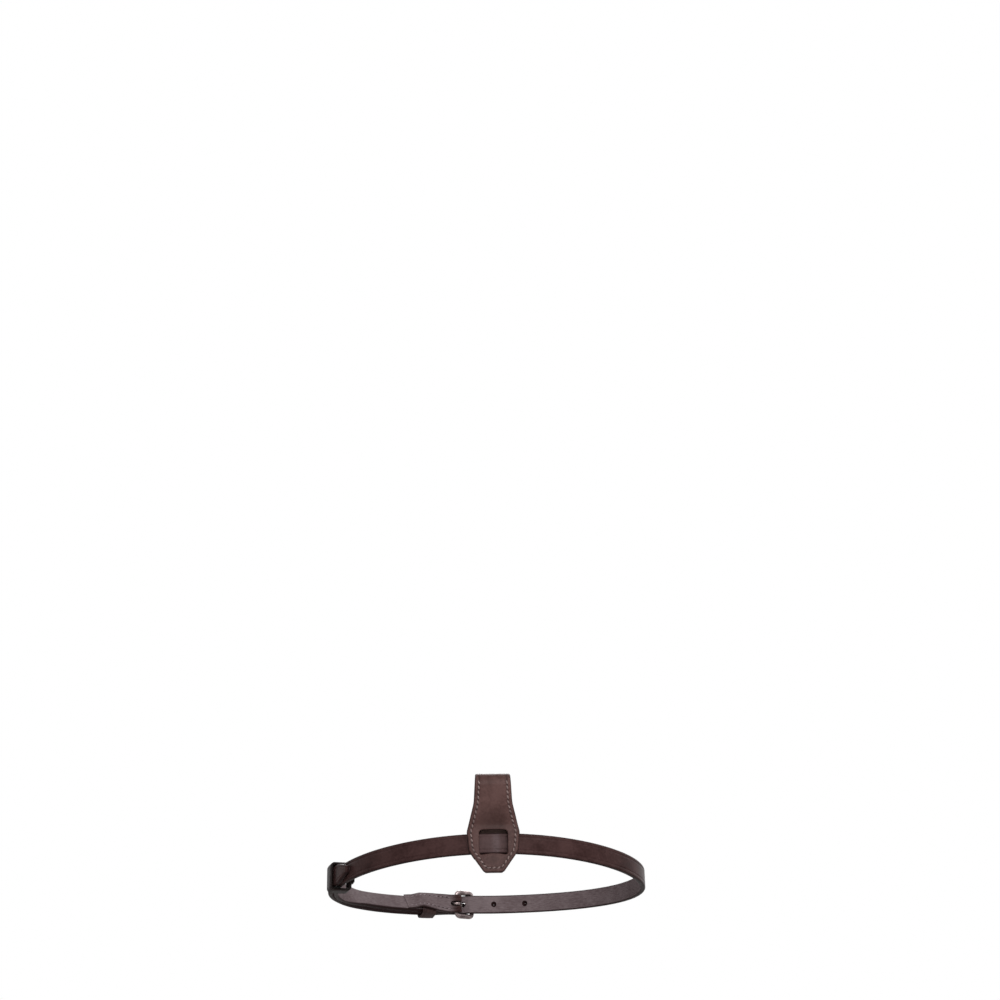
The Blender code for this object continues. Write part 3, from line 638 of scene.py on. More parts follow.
@dataclass(frozen=True)
class Backdrop(Surface):
    """A plain surface that looks pale to the camera, keeps part of its shadows and turns white far away."""

    colour: Colour
    speckle_scale: float = 30.0
    speckle_gain: float = 0.97
    roughness: float = 0.9
    specular: float = 0.1
    glow: float = 0.86
    white_band: Band = (0.9, 3.4)

    def shader(self, tree: Tree) -> Wire:
        """Mix the lit surface with the pale one that the camera sees.

        Args:
            tree: The material's tree.

        Returns:
            The shader.
        """
        place = tree.object_place()
        speckle = tree.noise(place, self.speckle_scale, detail=2.0)
        colour = tree.mix(speckle, self.colour, shaded(self.colour, self.speckle_gain))
        distance = tree.node("ShaderNodeVectorMath", {"operation": "LENGTH"}, {0: place}, "Value")
        far = tree.ramp(distance, *self.white_band)
        inputs = {"Base Color": colour, "Roughness": self.roughness, "Specular IOR Level": self.specular}
        pale = {"Color": tree.mix(far, colour, (1.0, 1.0, 1.0)), "Strength": 1.0}
        seen = tree.ray("Camera") * (far * (1.0 - self.glow) + self.glow)
        shaders = {0: seen, 1: tree.principled(inputs), 2: tree.node("ShaderNodeEmission", None, pale)}
        return tree.node("ShaderNodeMixShader", None, shaders)


class Finish(Enum):
    """The finishes of the object's pieces and of the studio's floor."""

    HANGER = Leather(
        "hanger_bridle_leather",
        grain=srgb(88, 64, 61),
        deep=srgb(65, 43, 40),
        edge=srgb(34, 22, 21),
        flesh=srgb(98, 84, 80),
        flesh_deep=srgb(70, 55, 52),
        seam_inset=0.0024,
        border=0.0006,
        roughness=0.46,
    )
    LINING = Leather(
        "hanger_lining_leather",
        grain=srgb(92, 74, 68),
        deep=srgb(70, 53, 49),
        edge=srgb(34, 23, 21),
        flesh=srgb(98, 84, 80),
        flesh_deep=srgb(72, 58, 55),
        roughness=0.6,
        specular=0.1,
    )
    STRAP = Leather(
        "strap_bridle_leather",
        grain=srgb(70, 50, 49),
        deep=srgb(50, 33, 32),
        edge=srgb(36, 23, 23),
        flesh=srgb(122, 109, 111),
        flesh_deep=srgb(96, 82, 84),
        border=0.0008,
        roughness=0.34,
        specular=0.03,
        relief=0.35,
    )
    KEEPER = Leather(
        "keeper_leather",
        grain=srgb(58, 42, 41),
        deep=srgb(38, 26, 25),
        edge=srgb(24, 16, 15),
        flesh=srgb(52, 41, 40),
        flesh_deep=srgb(34, 25, 24),
    )
    # a much darker copy of the strap's leather: painted shade of the strap's dark left end, where the
    # sliding keeper sits
    RUNNER = Leather(
        "sliding_keeper_leather_painted_shade",
        grain=srgb(36, 25, 24),
        deep=srgb(24, 16, 15),
        edge=srgb(20, 13, 12),
        flesh=srgb(34, 26, 25),
        flesh_deep=srgb(24, 17, 16),
        specular=0.08,
    )
    METAL = Metal("buckle_dark_metal", colour=srgb(110, 97, 97), worn=srgb(156, 142, 141))
    THREAD = Thread("seam_thread", colour=srgb(134, 115, 112), deep=srgb(94, 77, 75))
    CHAPE_THREAD = Thread("chape_seam_thread", colour=srgb(140, 126, 130), deep=srgb(98, 84, 87))
    # painted shadow of the needle holes
    NEEDLE_HOLE_SHADOW = Thread("needle_hole_shadow", colour=srgb(52, 37, 35), deep=srgb(38, 26, 25))
    FLOOR = Backdrop("studio_floor", colour=srgb(232, 231, 229))


@cache
def material_of(finish: Finish) -> bpy.types.Material:
    """The material of a finish, made the first time that it is asked for."""
    return finish.value.material()


# Pieces


def placed(name: str, data: bpy.types.ID) -> bpy.types.Object:
    """Make an object of a mesh, a lamp or a camera and link it to the scene.

    Args:
        name: The object's name.
        data: What it is made of.

    Returns:
        The object.
    """
    item = bpy.data.objects.new(name, data)
    bpy.context.scene.collection.objects.link(item)
    return item


def settled(mesh: bpy.types.Mesh, finishes: Sequence[Finish]) -> bpy.types.Object:
    """Turn a mesh's faces outward, shade it and make it an object of the same name.

    Args:
        mesh: The mesh, with its vertices in place.
        finishes: Its finishes.

    Returns:
        The object.
    """
    work = bmesh.new()
    work.from_mesh(mesh)
    bmesh.ops.recalc_face_normals(work, faces=work.faces)
    work.to_mesh(mesh)
    work.free()
    mesh.shade_smooth()
    for finish in finishes:
        mesh.materials.append(material_of(finish))
    return placed(mesh.name, mesh)


def dress(piece: bpy.types.Object, body: Body, node: str) -> None:
    """Join a finished piece to the frame.

    Args:
        piece: The piece, in place.
        body: The body that it moves with.
        node: The node of the frame that it stands for.
    """
    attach(piece, body.value)
    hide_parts(node)
    LOG.info("%s: %d faces, rides on %s", piece.name, len(piece.data.polygons), body.value)


# Sheets of leather

SAME_SECTION = 1e-7  # metres: sections nearer to each other than this are one
SAME_COLUMN = 1e-6  # metres: how far inside a hole's patch a column may lie and still bound it


def bridge(first: Sequence[int], second: Sequence[int]) -> list[tuple[int, ...]]:
    """The faces between two closed loops of vertices, which are given in the same order."""
    ahead = [*range(1, len(first)), 0]
    return [(first[step], first[then], second[then], second[step]) for step, then in enumerate(ahead)]


@dataclass(frozen=True)
class Opening:
    """A hole through a sheet, with rounded corners and an eased rim.

    The far side may be domed into the hole, and the hole may close to a neck inside the leather. The
    turns are the degrees at which a rim has a ring, and the neck's shares are those of half the
    thickness.
    """

    along: float
    half_length: float
    half_width: float
    corner: float
    rim: float = 0.0003
    rim_turns: tuple[float, ...] = (0.0, 30.0, 60.0, 90.0)
    margin: float = 0.0006
    dome: float = 0.0
    neck: float = 0.0
    neck_gain: float = 1.3
    neck_shares: tuple[float, ...] = (0.55, 0.2, -0.2, -0.55)
    halvings: int = 24

    @property
    def reach(self) -> float:
        """Half the length of the patch of sheet that is made round the hole."""
        return self.half_length + self.rim + self.margin

    @property
    def span(self) -> float:
        """Half the width of that patch."""
        return self.half_width + self.rim + self.margin

    def outside(self, along: float, across: float) -> float:
        """How far a place is outside the hole's edge; below 0 it is in the hole.

        Args:
            along: The distance along the sheet from the hole's middle.
            across: The distance across it from the hole's middle.

        Returns:
            The distance.
        """
        dome = self.dome * max(0.0, 1.0 - (across / self.half_width) ** 2) if along > 0.0 else 0.0
        x = abs(along) - (self.half_length - dome - self.corner)
        y = abs(across) - (self.half_width - self.corner)
        return math.hypot(max(x, 0.0), max(y, 0.0)) + min(max(x, y), 0.0) - self.corner

    def toward(self, along: float, across: float, outside: float) -> tuple[float, float]:
        """The place on the way from the hole's middle to another place that is so far outside the edge.

        Args:
            along: The other place's distance along the sheet from the hole's middle.
            across: Its distance across.
            outside: The distance outside the edge.

        Returns:
            The distances along and across from the hole's middle.
        """
        low, high = 0.0, 1.0
        for _ in range(self.halvings):
            share = (low + high) / 2.0
            if self.outside(along * share, across * share) < outside:
                low = share
            else:
                high = share
        return along * high, across * high

    def rings(self) -> list[Place]:
        """Shape the hole's eased rims and the wall or the neck between them.

        Returns:
            The rings from the top down, as (outside, share, drop, facing): the distance outside the
            edge, the share of half the thickness, the drop from there and the side it belongs to.
        """
        top = []
        for turn in self.rim_turns:
            sine, cosine = math.sin(math.radians(turn)), math.cos(math.radians(turn))
            top.append((self.rim * (1.0 - sine), 1.0, self.rim * (1.0 - cosine), cosine))
        neck = []
        for share in self.neck_shares if self.neck > 0.0 else ():
            neck.append((-self.neck * smooth_step(self.neck_gain * (1.0 - abs(share))), share, 0.0, 0.0))
        below = [(outside, -share, -drop, -facing) for outside, share, drop, facing in reversed(top)]
        return top + neck + below


@dataclass(frozen=True)
class Crease:
    """A line pressed into the grain side along both edges.

    The profile's points are shares of the half width and of the depth.
    """

    inset: float = 0.0023
    half_width: float = 0.00045
    depth: float = 0.00022
    profile: Line = ((1.0, 0.0), (0.5, 0.55), (0.0, 1.0), (-0.5, 0.55), (-1.0, 0.0))


@dataclass(frozen=True)
class Patch:
    """The rows and the columns of the top of a sheet that a hole's rings take the place of."""

    first: int
    last: int
    left: int
    right: int

    def edge(self) -> list[tuple[int, int]]:
        """Go round the patch.

        Returns:
            The places of its outer edge in order, as (row, column).
        """
        edge = [(self.first, column) for column in range(self.left, self.right)]
        edge += [(row, self.right) for row in range(self.first, self.last)]
        edge += [(self.last, column) for column in range(self.right, self.left, -1)]
        return edge + [(row, self.left) for row in range(self.last, self.first, -1)]

    def cells(self) -> list[tuple[int, int]]:
        """The faces that it covers on the top, as (row, column)."""
        return [(row, cell) for row in range(self.first, self.last) for cell in range(self.left, self.right)]


@dataclass
class Sheet:
    """A piece of leather that follows a route and is laid in the world by a mapping.

    Its places are (along, across, height, facing), and its sections are closed rings of them.
    """

    name: str
    route: Route
    spot: Spot
    thickness: Callable[[float], float]
    half_width: Callable[[float], float]
    full_half_width: float
    edge_radius: float
    end_share: float = 0.95
    crease: Crease | None = None
    openings: tuple[Opening, ...] = ()
    pitch: float = 0.002
    fine_pitch: float = 0.0007
    pitch_slack: float = 0.3
    columns: int = 8
    edge_steps: int = 5
    end_steps: int = 4
    rim: Callable[[float, float], float] | None = None
    marks: tuple[float, ...] = ()
    # share of the flesh colour on the grain: real wear, and on the strap also a painted highlight
    wear_and_painted_highlight: Callable[[float], float] = lambda along: 0.0
    # share of painted shade that darkens the grain
    painted_shade: Callable[[float, float], float] = lambda along, across: 0.0
    places: list[Place] = field(init=False, default_factory=list)
    faces: list[Sequence[int]] = field(init=False, default_factory=list)

    def stations(self) -> list[float]:
        """Find where the sheet has a section: closer at its ends, its turns and its holes.

        Returns:
            The distances along the route.
        """
        length = self.route.length
        marks = {0.0, length, *self.route.marks, *self.marks}
        for step in range(1, self.end_steps + 1):
            eased = self.edge_radius * (1.0 - math.cos(math.pi * step / (2.0 * self.end_steps)))
            marks |= {eased, length - eased}
        spare = self.fine_pitch / 3.0
        for hole in self.openings:
            marks = {mark for mark in marks if abs(mark - hole.along) > hole.reach + spare}
            marks |= {hole.along - hole.reach, hole.along + hole.reach}
        found = [0.0]
        for low, high in pairwise(sorted(marks)):
            middle = (low + high) / 2.0
            inside = any(abs(middle - hole.along) < hole.reach for hole in self.openings)
            pitch = self.fine_pitch if inside else self.pitch
            found += spaced(low, high, max(1, round((high - low) / pitch + self.pitch_slack)))[1:]
        return found[:1] + [there for here, there in pairwise(found) if there - here > SAME_SECTION]

    def sizes(self, along: float) -> tuple[float, float]:
        """Measure the sheet, whose ends are eased.

        Args:
            along: The distance along the route.

        Returns:
            Half the width and half the thickness there.
        """
        half, thick = self.half_width(along), self.thickness(along) / 2.0
        radius = min(self.edge_radius, thick * self.end_share)
        end = min(along, self.route.length - along)
        if end < radius:
            inset = radius - math.sqrt(max(0.0, radius * radius - (radius - end) ** 2))
            half, thick = half - inset, thick - inset
        return half, thick

    def section(self, along: float) -> list[Place]:
        """Draw one section: the grain side with its crease, a round edge, the flesh side and the other edge.

        Args:
            along: The distance along the route.

        Returns:
            The places in order round it.
        """
        half, thick = self.sizes(along)
        radius = min(self.edge_radius, thick, half / 2.0)
        flat = half - radius
        scale = min(1.0, half / self.full_half_width)
        outer = [(flat, 0.0)]
        inner = flat
        if self.crease:
            line = half - self.crease.inset * scale
            width = self.crease.half_width * scale
            for share, depth in self.crease.profile:
                outer.append((line + share * width, depth * self.crease.depth * scale))
            inner = line - width
        middle = [(inner * share, 0.0) for share in spaced(-1.0, 1.0, self.columns)[1:-1]]
        top = [(-across, dip) for across, dip in outer] + middle + outer[::-1]
        places = [(along, across, thick - dip, 1.0) for across, dip in top]
        edge = []
        for step in range(1, 2 * self.edge_steps):
            turn = math.pi / 2.0 - math.pi * step / (2 * self.edge_steps)
            lift = math.copysign(thick - radius, math.sin(turn)) if step != self.edge_steps else 0.0
            height = lift + radius * math.sin(turn)
            edge.append((flat + radius * math.cos(turn), height, math.sin(turn)))
        places += [(along, across, height, facing) for across, height, facing in edge]
        places += [(along, across, -thick, -1.0) for across, _ in reversed(top)]
        places += [(along, -across, height, facing) for across, height, facing in reversed(edge)]
        return places

    def cut(self, finish: Finish, body: Body, node: str, slot: Slot = Slot.STRAP) -> None:
        """Make the piece and join it to the frame."""
        dress(self.build(finish), body, node)

    def build(self, finish: Finish) -> bpy.types.Object:
        """Make the sheet's mesh.

        Args:
            finish: The finish that it gets.

        Returns:
            The finished piece.
        """
        rows = self.stations()
        sections = [self.section(along) for along in rows]
        ring = len(sections[0])
        numbers = [range(row * ring, (row + 1) * ring) for row in range(len(rows))]
        self.places = [place for section in sections for place in section]
        self.faces = []
        patches = [self._patch(hole, rows, sections) for hole in self.openings]
        cells = [cell for patch in patches for cell in patch.cells()]
        covered = {*cells, *((row, self._under(cell) - 1) for row, cell in cells)}
        for row, (here, there) in enumerate(pairwise(numbers)):
            faces = enumerate(bridge(here, there))
            self.faces += [face for step, face in faces if (row, step) not in covered]
        for hole, patch in zip(self.openings, patches):
            top = [numbers[row][column] for row, column in patch.edge()]
            below = [numbers[row][self._under(column)] for row, column in patch.edge()]
            for outer, inner in pairwise([top, *self._hole_rings(hole, top), below]):
                self.faces += bridge(outer, inner)
        self.faces += [tuple(numbers[0]), tuple(numbers[-1])]
        return self._finish(finish)

    @staticmethod
    def _patch(hole: Opening, rows: Sequence[float], sections: Sequence[list[Place]]) -> Patch:
        """Find the patch of a hole.

        Args:
            hole: The hole.
            rows: The sections' distances along.
            sections: The sections' places.

        Returns:
            The patch.
        """

        def nearest(place: float) -> int:
            """The row nearest to a distance along."""
            return min(range(len(rows)), key=lambda row: abs(rows[row] - place))

        top = [across for _, across, _, facing in sections[nearest(hole.along)] if facing == 1.0]
        return Patch(
            nearest(hole.along - hole.reach),
            nearest(hole.along + hole.reach),
            max(column for column, across in enumerate(top) if across <= SAME_COLUMN - hole.span),
            min(column for column, across in enumerate(top) if across >= hole.span - SAME_COLUMN),
        )

    def _under(self, step: int) -> int:
        """The top column that lies over a column of the underside, or the other way round."""
        top = 2 * (1 + len(self.crease.profile if self.crease else ())) + self.columns - 1
        return 2 * (top + self.edge_steps - 1) - step

    def _hole_rings(self, hole: Opening, top: Sequence[int]) -> list[list[int]]:
        """Add the places of a hole's rings.

        Args:
            hole: The hole.
            top: The numbers of the places round its patch.

        Returns:
            The numbers of each ring's places.
        """
        ways = [(self.places[index][0] - hole.along, self.places[index][1]) for index in top]
        rings = []
        for outside, share, drop, facing in hole.rings():
            rings.append(list(range(len(self.places), len(self.places) + len(ways))))
            for way in ways:
                along, across = hole.toward(*way, outside)
                _, thick = self.sizes(hole.along + along)
                self.places.append((hole.along + along, across, share * thick - drop, facing))
        return rings

    def _rim(self, along: float, across: float) -> float:
        """The distance of a place from the nearest cut edge."""
        near = min(self.half_width(along) - abs(across), along, self.route.length - along)
        return self.rim(along, across) if self.rim else max(0.0, near)

    def _finish(self, finish: Finish) -> bpy.types.Object:
        """Lay the places and faces in the world, with what the leather's shader reads.

        Args:
            finish: The finish that the piece gets.

        Returns:
            The finished piece.
        """
        mesh = bpy.data.meshes.new(self.name)
        points = []
        for along, across, height, _ in self.places:
            middle, normal = self.route.at(along)
            points.append(self.spot(middle + normal * height, across))
        mesh.from_pydata(points, [], self.faces)
        values = {
            "facing": [facing for _, _, _, facing in self.places],
            "rim": [self._rim(along, across) for along, across, _, _ in self.places],
            "wear_and_painted_highlight": [self.wear_and_painted_highlight(along) for along, _, _, _ in self.places],
            "painted_shade": [self.painted_shade(along, across) for along, across, _, _ in self.places],
        }
        for label, levels in values.items():
            mesh.attributes.new(label, "FLOAT", "POINT").data.foreach_set("value", levels)
        layer = mesh.uv_layers.new(name="along_and_across")
        flat = [value for loop in mesh.loops for value in self.places[loop.vertex_index][:2]]
        layer.data.foreach_set("uv", flat)
        return settled(mesh, [finish])


# Seams


class BeadRow:
    """A Geometry Nodes tree that lays beads, such as stitches or needle holes, along a line.

    The line is a mesh of edges whose points carry the surface's outward direction as "lift".
    """

    SIZES = ("Pitch", "Shift", "Length", "Width", "Height", "Slant", "Unevenness")
    BALL = {"Segments": 8, "Rings": 6, "Radius": 0.5}

    def __init__(self) -> None:
        """Build the tree with its named inputs."""
        group = bpy.data.node_groups.new("bead_row", "GeometryNodeTree")
        self.tree = Tree(group)
        self.identifiers: dict[str, str] = {}
        self._socket(group, "Line", "NodeSocketGeometry")
        for name in self.SIZES:
            self._socket(group, name, "NodeSocketFloat")
        self._socket(group, "Seed", "NodeSocketInt")
        self._socket(group, "Finish", "NodeSocketMaterial")
        group.interface.new_socket("Beads", in_out="OUTPUT", socket_type="NodeSocketGeometry")
        self._build()

    def _socket(self, group: bpy.types.NodeTree, name: str, kind: str) -> None:
        """Add a named input."""
        made = group.interface.new_socket(name, in_out="INPUT", socket_type=kind)
        self.identifiers[name] = made.identifier

    def _given(self, name: str) -> Wire:
        """An input of the tree."""
        return self.tree.node("NodeGroupInput", output=name)

    def _build(self) -> None:
        """Space the points, turn a bead to each and shape it."""
        tree = self.tree
        line = tree.node("GeometryNodeMeshToCurve", None, {"Mesh": self._given("Line")})
        spacing = {"Curve": line, "Length": self._given("Pitch")}
        points = tree.node("GeometryNodeResampleCurve", {"mode": "LENGTH"}, spacing)
        way = tree.node("GeometryNodeInputTangent")
        vectors = {"data_type": "FLOAT_VECTOR"}
        lift = tree.node("GeometryNodeInputNamedAttribute", vectors, {"Name": "lift"}, "Attribute")
        shift = {0: way, "Scale": self._given("Shift")}
        shifted = tree.node("ShaderNodeVectorMath", {"operation": "SCALE"}, shift)
        points = tree.node("GeometryNodeSetPosition", None, {"Geometry": points, "Offset": shifted})
        upright = {"axis": "Z", "pivot_axis": "AUTO"}
        turned = tree.node("FunctionNodeAlignRotationToVector", upright, {"Vector": lift})
        ahead = {"axis": "X", "pivot_axis": "Z"}
        turned = tree.node("FunctionNodeAlignRotationToVector", ahead, {"Rotation": turned, "Vector": way})
        spread = self._given("Unevenness")
        chance = {2: 0.0 - spread, 3: spread, "Seed": self._given("Seed")}
        uneven = tree.node("FunctionNodeRandomValue", {"data_type": "FLOAT"}, chance, 1)
        skew = tree.node("ShaderNodeCombineXYZ", None, {"Z": self._given("Slant") + uneven})
        skew = tree.node("FunctionNodeEulerToRotation", None, {"Euler": skew})
        local = {"rotation_space": "LOCAL"}
        turned = tree.node("FunctionNodeRotateRotation", local, {"Rotation": turned, "Rotate By": skew})
        ball = tree.node("GeometryNodeMeshUVSphere", None, self.BALL)
        sizes = {"X": self._given("Length"), "Y": self._given("Width"), "Z": self._given("Height")}
        scale = tree.node("ShaderNodeCombineXYZ", None, sizes)
        laid = {"Points": points, "Instance": ball, "Rotation": turned, "Scale": scale}
        beads = tree.node("GeometryNodeInstanceOnPoints", None, laid)
        solid = tree.node("GeometryNodeRealizeInstances", None, {"Geometry": beads})
        dressed = {"Geometry": solid, "Material": self._given("Finish")}
        dressed = tree.node("GeometryNodeSetMaterial", None, dressed)
        tree.node("NodeGroupOutput", None, {"Beads": dressed})

    def lay(self, name: str, line: SeamLine, sizes: Mapping[str, object]) -> bpy.types.Mesh:
        """Lay beads along a line.

        Args:
            name: The name of the mesh.
            line: The line's points, each with the surface's outward direction there.
            sizes: The tree's inputs by name.

        Returns:
            The beads as one plain mesh.
        """
        mesh = bpy.data.meshes.new(name)
        mesh.from_pydata([point for point, _ in line], list(pairwise(range(len(line)))), [])
        lift = mesh.attributes.new("lift", "FLOAT_VECTOR", "POINT")
        lift.data.foreach_set("vector", [value for _, way in line for value in way])
        carrier = placed(name, mesh)
        modifier = carrier.modifiers.new("beads", "NODES")
        modifier.node_group = self.tree.nodes
        for label, value in sizes.items():
            modifier[self.identifiers[label]] = value
        bpy.context.view_layer.update()
        graph = bpy.context.evaluated_depsgraph_get()
        beads = bpy.data.meshes.new_from_object(carrier.evaluated_get(graph))
        carrier.modifiers.remove(modifier)
        bpy.data.objects.remove(carrier, do_unlink=True)
        bpy.data.meshes.remove(mesh)
        return beads


@cache
def bead_row() -> BeadRow:
    """The one tree that lays beads."""
    return BeadRow()


@dataclass(frozen=True)
class Seam:
    """A row of stitches with low dark beads between them, which are painted shadow in the needle holes."""

    pitch: float = 0.0028
    stitch_length: float = 0.0023
    thread: float = 0.00105
    thread_flatness: float = 0.9
    hole: float = 0.0009
    hole_flatness: float = 0.35
    slant: float = 20.0
    unevenness: float = 3.0
    seed: int = 7

    def sew(self, name: str, lines: Sequence[SeamLine], finish: Finish, body: Body, node: str) -> None:
        """Sew the rows of a seam as one piece and join it to the frame.

        Args:
            name: The name of the piece.
            lines: The rows.
            finish: The thread's finish.
            body: The body that the seam moves with.
            node: The node of the frame that it stands for.
        """
        stitch = {
            "Pitch": self.pitch,
            "Shift": 0.0,
            "Length": self.stitch_length,
            "Width": self.thread,
            "Height": self.thread * self.thread_flatness,
            "Slant": math.radians(self.slant),
            "Unevenness": math.radians(self.unevenness),
            "Seed": self.seed,
            "Finish": material_of(finish),
        }
        # the needle holes are low dark beads of painted shadow
        hole = {
            **stitch,
            "Shift": self.pitch / 2.0,
            "Length": self.hole,
            "Width": self.hole,
            "Height": self.hole * self.hole_flatness,
            "Finish": material_of(Finish.NEEDLE_HOLE_SHADOW),
        }
        work = bmesh.new()
        for number, line in enumerate(lines):
            for kind, sizes in enumerate((stitch, hole)):
                points = line if kind == 0 else line[:-1]
                beads = bead_row().lay(f"{name}_{number}_{kind}", points, sizes)
                for face in beads.polygons:
                    face.material_index = kind
                work.from_mesh(beads)
                bpy.data.meshes.remove(beads)
        mesh = bpy.data.meshes.new(name)
        work.to_mesh(mesh)
        work.free()
        dress(settled(mesh, [finish, Finish.NEEDLE_HOLE_SHADOW]), body, node)


def rod_piece(
    name: str,
    points: Sequence[Vector],
    axis: Vector,
    radii: Line,
    closed: bool,
    finish: Finish,
    sides: int = 20,
) -> bpy.types.Object:
    """A bent metal rod with an oval section.

    Args:
        name: The piece's name.
        points: The points of its middle line in the world, in a plane.
        axis: The direction across that plane.
        radii: Its radius along the axis and its radius in the plane, at each point.
        closed: Whether its ends meet.
        finish: Its finish.
        sides: The number of points round its section.

    Returns:
        The piece as a mesh.
    """
    count = len(points)
    vertices = []
    for index, (point, (thick, wide)) in enumerate(zip(points, radii)):
        before = points[index - 1] if index > 0 or closed else point
        after = points[(index + 1) % count] if index < count - 1 or closed else point
        other = (after - before).normalized().cross(axis)
        for step in range(sides):
            turn = math.tau * step / sides
            vertices.append(point + axis * thick * math.cos(turn) + other * wide * math.sin(turn))
    rings = [range(index * sides, (index + 1) * sides) for index in range(count)]
    faces: list[Sequence[int]] = []
    for here, there in pairwise([*rings, rings[0]] if closed else rings):
        faces += bridge(here, there)
    if not closed:
        faces += [tuple(rings[0]), tuple(rings[-1])]
    mesh = bpy.data.meshes.new(name)
    mesh.from_pydata(vertices, [], faces)
    return settled(mesh, [finish])


# The strap


@dataclass
class FlashStrap:
    """The flash strap with its folded-back chape, its holes and its rows of sewing.

    The two slot lines say how much of the lighter flesh colour is mixed into the grain where the strap
    shows in the hanger's window, a painted highlight, by the distance along from the middle of the slot.
    """

    ring: Ring
    width: float = 0.012
    thickness: float = 0.003
    seat_gap: float = 0.0003
    tip_angle: float = 210.0
    tip_length: float = 0.013
    tip_point_width: float = 0.004
    chape_thickness: float = 0.002
    chape_length: float = 0.037
    chape_ease: float = 0.005
    skive_length: float = 0.010
    skived_thickness: float = 0.0005
    skive_settle: float = 0.0002
    fold_steps: int = 16
    seam: Seam = Seam(thread=0.0009, seed=11)
    seam_half_spacing: float = 0.0037
    seam_start: float = 0.006
    seam_end_margin: float = 0.003
    seam_steps: int = 24
    keeper_wall: float = 0.0012
    keeper_length: float = 0.011
    keeper_distance: float = 0.0203
    bar_wire: float = 0.0024
    buckle_length: float = 0.013
    tongue_wire: float = 0.0019
    dip: float = 0.0008
    dip_half_length: float = 0.0022
    rise_end: float = 0.0015
    approach_length: float = 0.013
    slot_reach: float = 0.0045
    slot_clearance: float = 0.0006
    hole_pitch: float = 0.0215
    hole_diameter: float = 0.0036
    hole_rim: float = 0.0002
    hole_neck: float = 0.00165
    holes_past: int = 6
    holes_before: int = 2
    used_hole_play: float = 0.0005
    used_hole_swing: float = 0.0014
    edge_radius: float = 0.0011
    rub_fade: float = 0.006
    # painted highlight: lighter flesh colour mixed into the grain where the strap shows in the hanger's
    # window
    slot_painted_highlight_left: Line = ((-0.010, 0.0), (-0.0075, 0.13), (-0.0010, 0.16), (0.0008, 0.40))
    slot_painted_highlight_right: Line = ((0.0018, 0.52), (0.0028, 0.40), (0.0046, 0.12), (0.0075, 0.08), (0.010, 0.0))

    @property
    def half(self) -> float:
        """Half the strap's thickness."""
        return self.thickness / 2.0

    @property
    def layer_step(self) -> float:
        """The height of the strap's free end over the layer below it."""
        return self.thickness + self.seat_gap

    @property
    def bar_radius(self) -> float:
        """The radius of the buckle's bar."""
        return self.bar_wire / 2.0

    @property
    def bar_level(self) -> float:
        """The level of the buckle's bar."""
        return -(self.half + self.seat_gap + self.bar_radius)

    @property
    def frame_end(self) -> Vector:
        """The middle of the buckle's far side, as (place, level)."""
        level = -self.dip + self.half + self.seat_gap + self.bar_radius
        return Vector((-math.sqrt(self.buckle_length**2 - (level - self.bar_level) ** 2), level))

    @property
    def tip_place(self) -> float:
        """The place of the strap's tip."""
        return self.ring.girth + self.ring.place(self.tip_angle)

    def chape_corners(self) -> list[Corner]:
        """Place the corners of the folded-back leather.

        Returns:
            The corners from its end to the fold, as (place, level, radius).
        """
        half = self.chape_thickness / 2.0
        seated = -(self.half + self.seat_gap + half)
        under_keeper = seated - self.keeper_wall - self.seat_gap
        at_fold = self.bar_level - self.bar_radius - self.seat_gap - half
        reach = self.keeper_length / 2.0 + self.seat_gap
        ease = self.chape_ease
        return [
            (self.chape_length, seated, 0.0),
            (self.keeper_distance + reach + ease, seated, ease),
            (self.keeper_distance + reach, under_keeper, ease),
            (self.keeper_distance - reach, under_keeper, ease),
            (self.bar_wire, at_fold, ease),
            (0.0, at_fold, 0.0),
        ]

    def skive(self, place: float) -> float:
        """How much of its full thickness the folded-back leather has at a place, 0 at its thin end."""
        return clamped((self.chape_length - place) / self.skive_length)

    def chape_thick(self, place: float) -> float:
        """The thickness of the folded-back leather at a place."""
        return self.skived_thickness + (self.chape_thickness - self.skived_thickness) * self.skive(place)

    def chape_points(self) -> list[Vector]:
        """Draw the middle line of the folded-back leather, which settles where it is thinned.

        Returns:
            The points from its thin end to the fold, as (place, level).
        """
        points = []
        for spot in filleted(self.chape_corners()):
            thinned = (self.chape_thickness - self.chape_thick(spot.x)) / 2.0
            settling = self.skive_settle * (1.0 - self.skive(spot.x))
            points.append(Vector((spot.x, spot.y + thinned + settling)))
        return points

    def fold_points(self) -> list[Vector]:
        """Draw the half turn round the bar.

        Returns:
            The points from the inside to the outside, as (place, level).
        """
        thin = self.chape_thickness / 2.0
        points = []
        for share in spaced(0.0, 1.0, self.fold_steps)[1:-1]:
            turn = math.radians(-90.0 - 180.0 * share)
            radius = self.bar_radius + self.seat_gap + thin + (self.half - thin) * share
            points.append(Vector((radius * math.cos(turn), self.bar_level + radius * math.sin(turn))))
        return points

    def main_points(self) -> list[Vector]:
        """Draw the middle line from the bar, round the ring and through the buckle to the tip.

        Returns:
            The points, as (place, level).
        """
        dip = self.ring.girth + self.frame_end.x
        corners = [
            (0.0, 0.0, 0.0),
            (dip - self.dip_half_length - self.approach_length, 0.0, self.approach_length),
            (dip - self.dip_half_length, -self.dip, self.dip_half_length),
            (dip + self.dip_half_length, -self.dip, self.dip_half_length),
            (self.ring.girth - self.rise_end, self.layer_step, self.dip_half_length),
            (self.tip_place, self.layer_step, 0.0),
        ]
        return filleted(corners)

    def tongue_line(self) -> tuple[Vector, Vector]:
        """Place the tongue's straight part.

        Returns:
            Its ends, as (place, level).
        """
        radius = self.tongue_wire / 2.0
        loop = self.bar_radius + self.seat_gap + radius
        rest = self.frame_end.y + self.bar_radius + self.seat_gap + radius
        return Vector((0.0, self.bar_level + loop)), Vector((self.frame_end.x, rest))

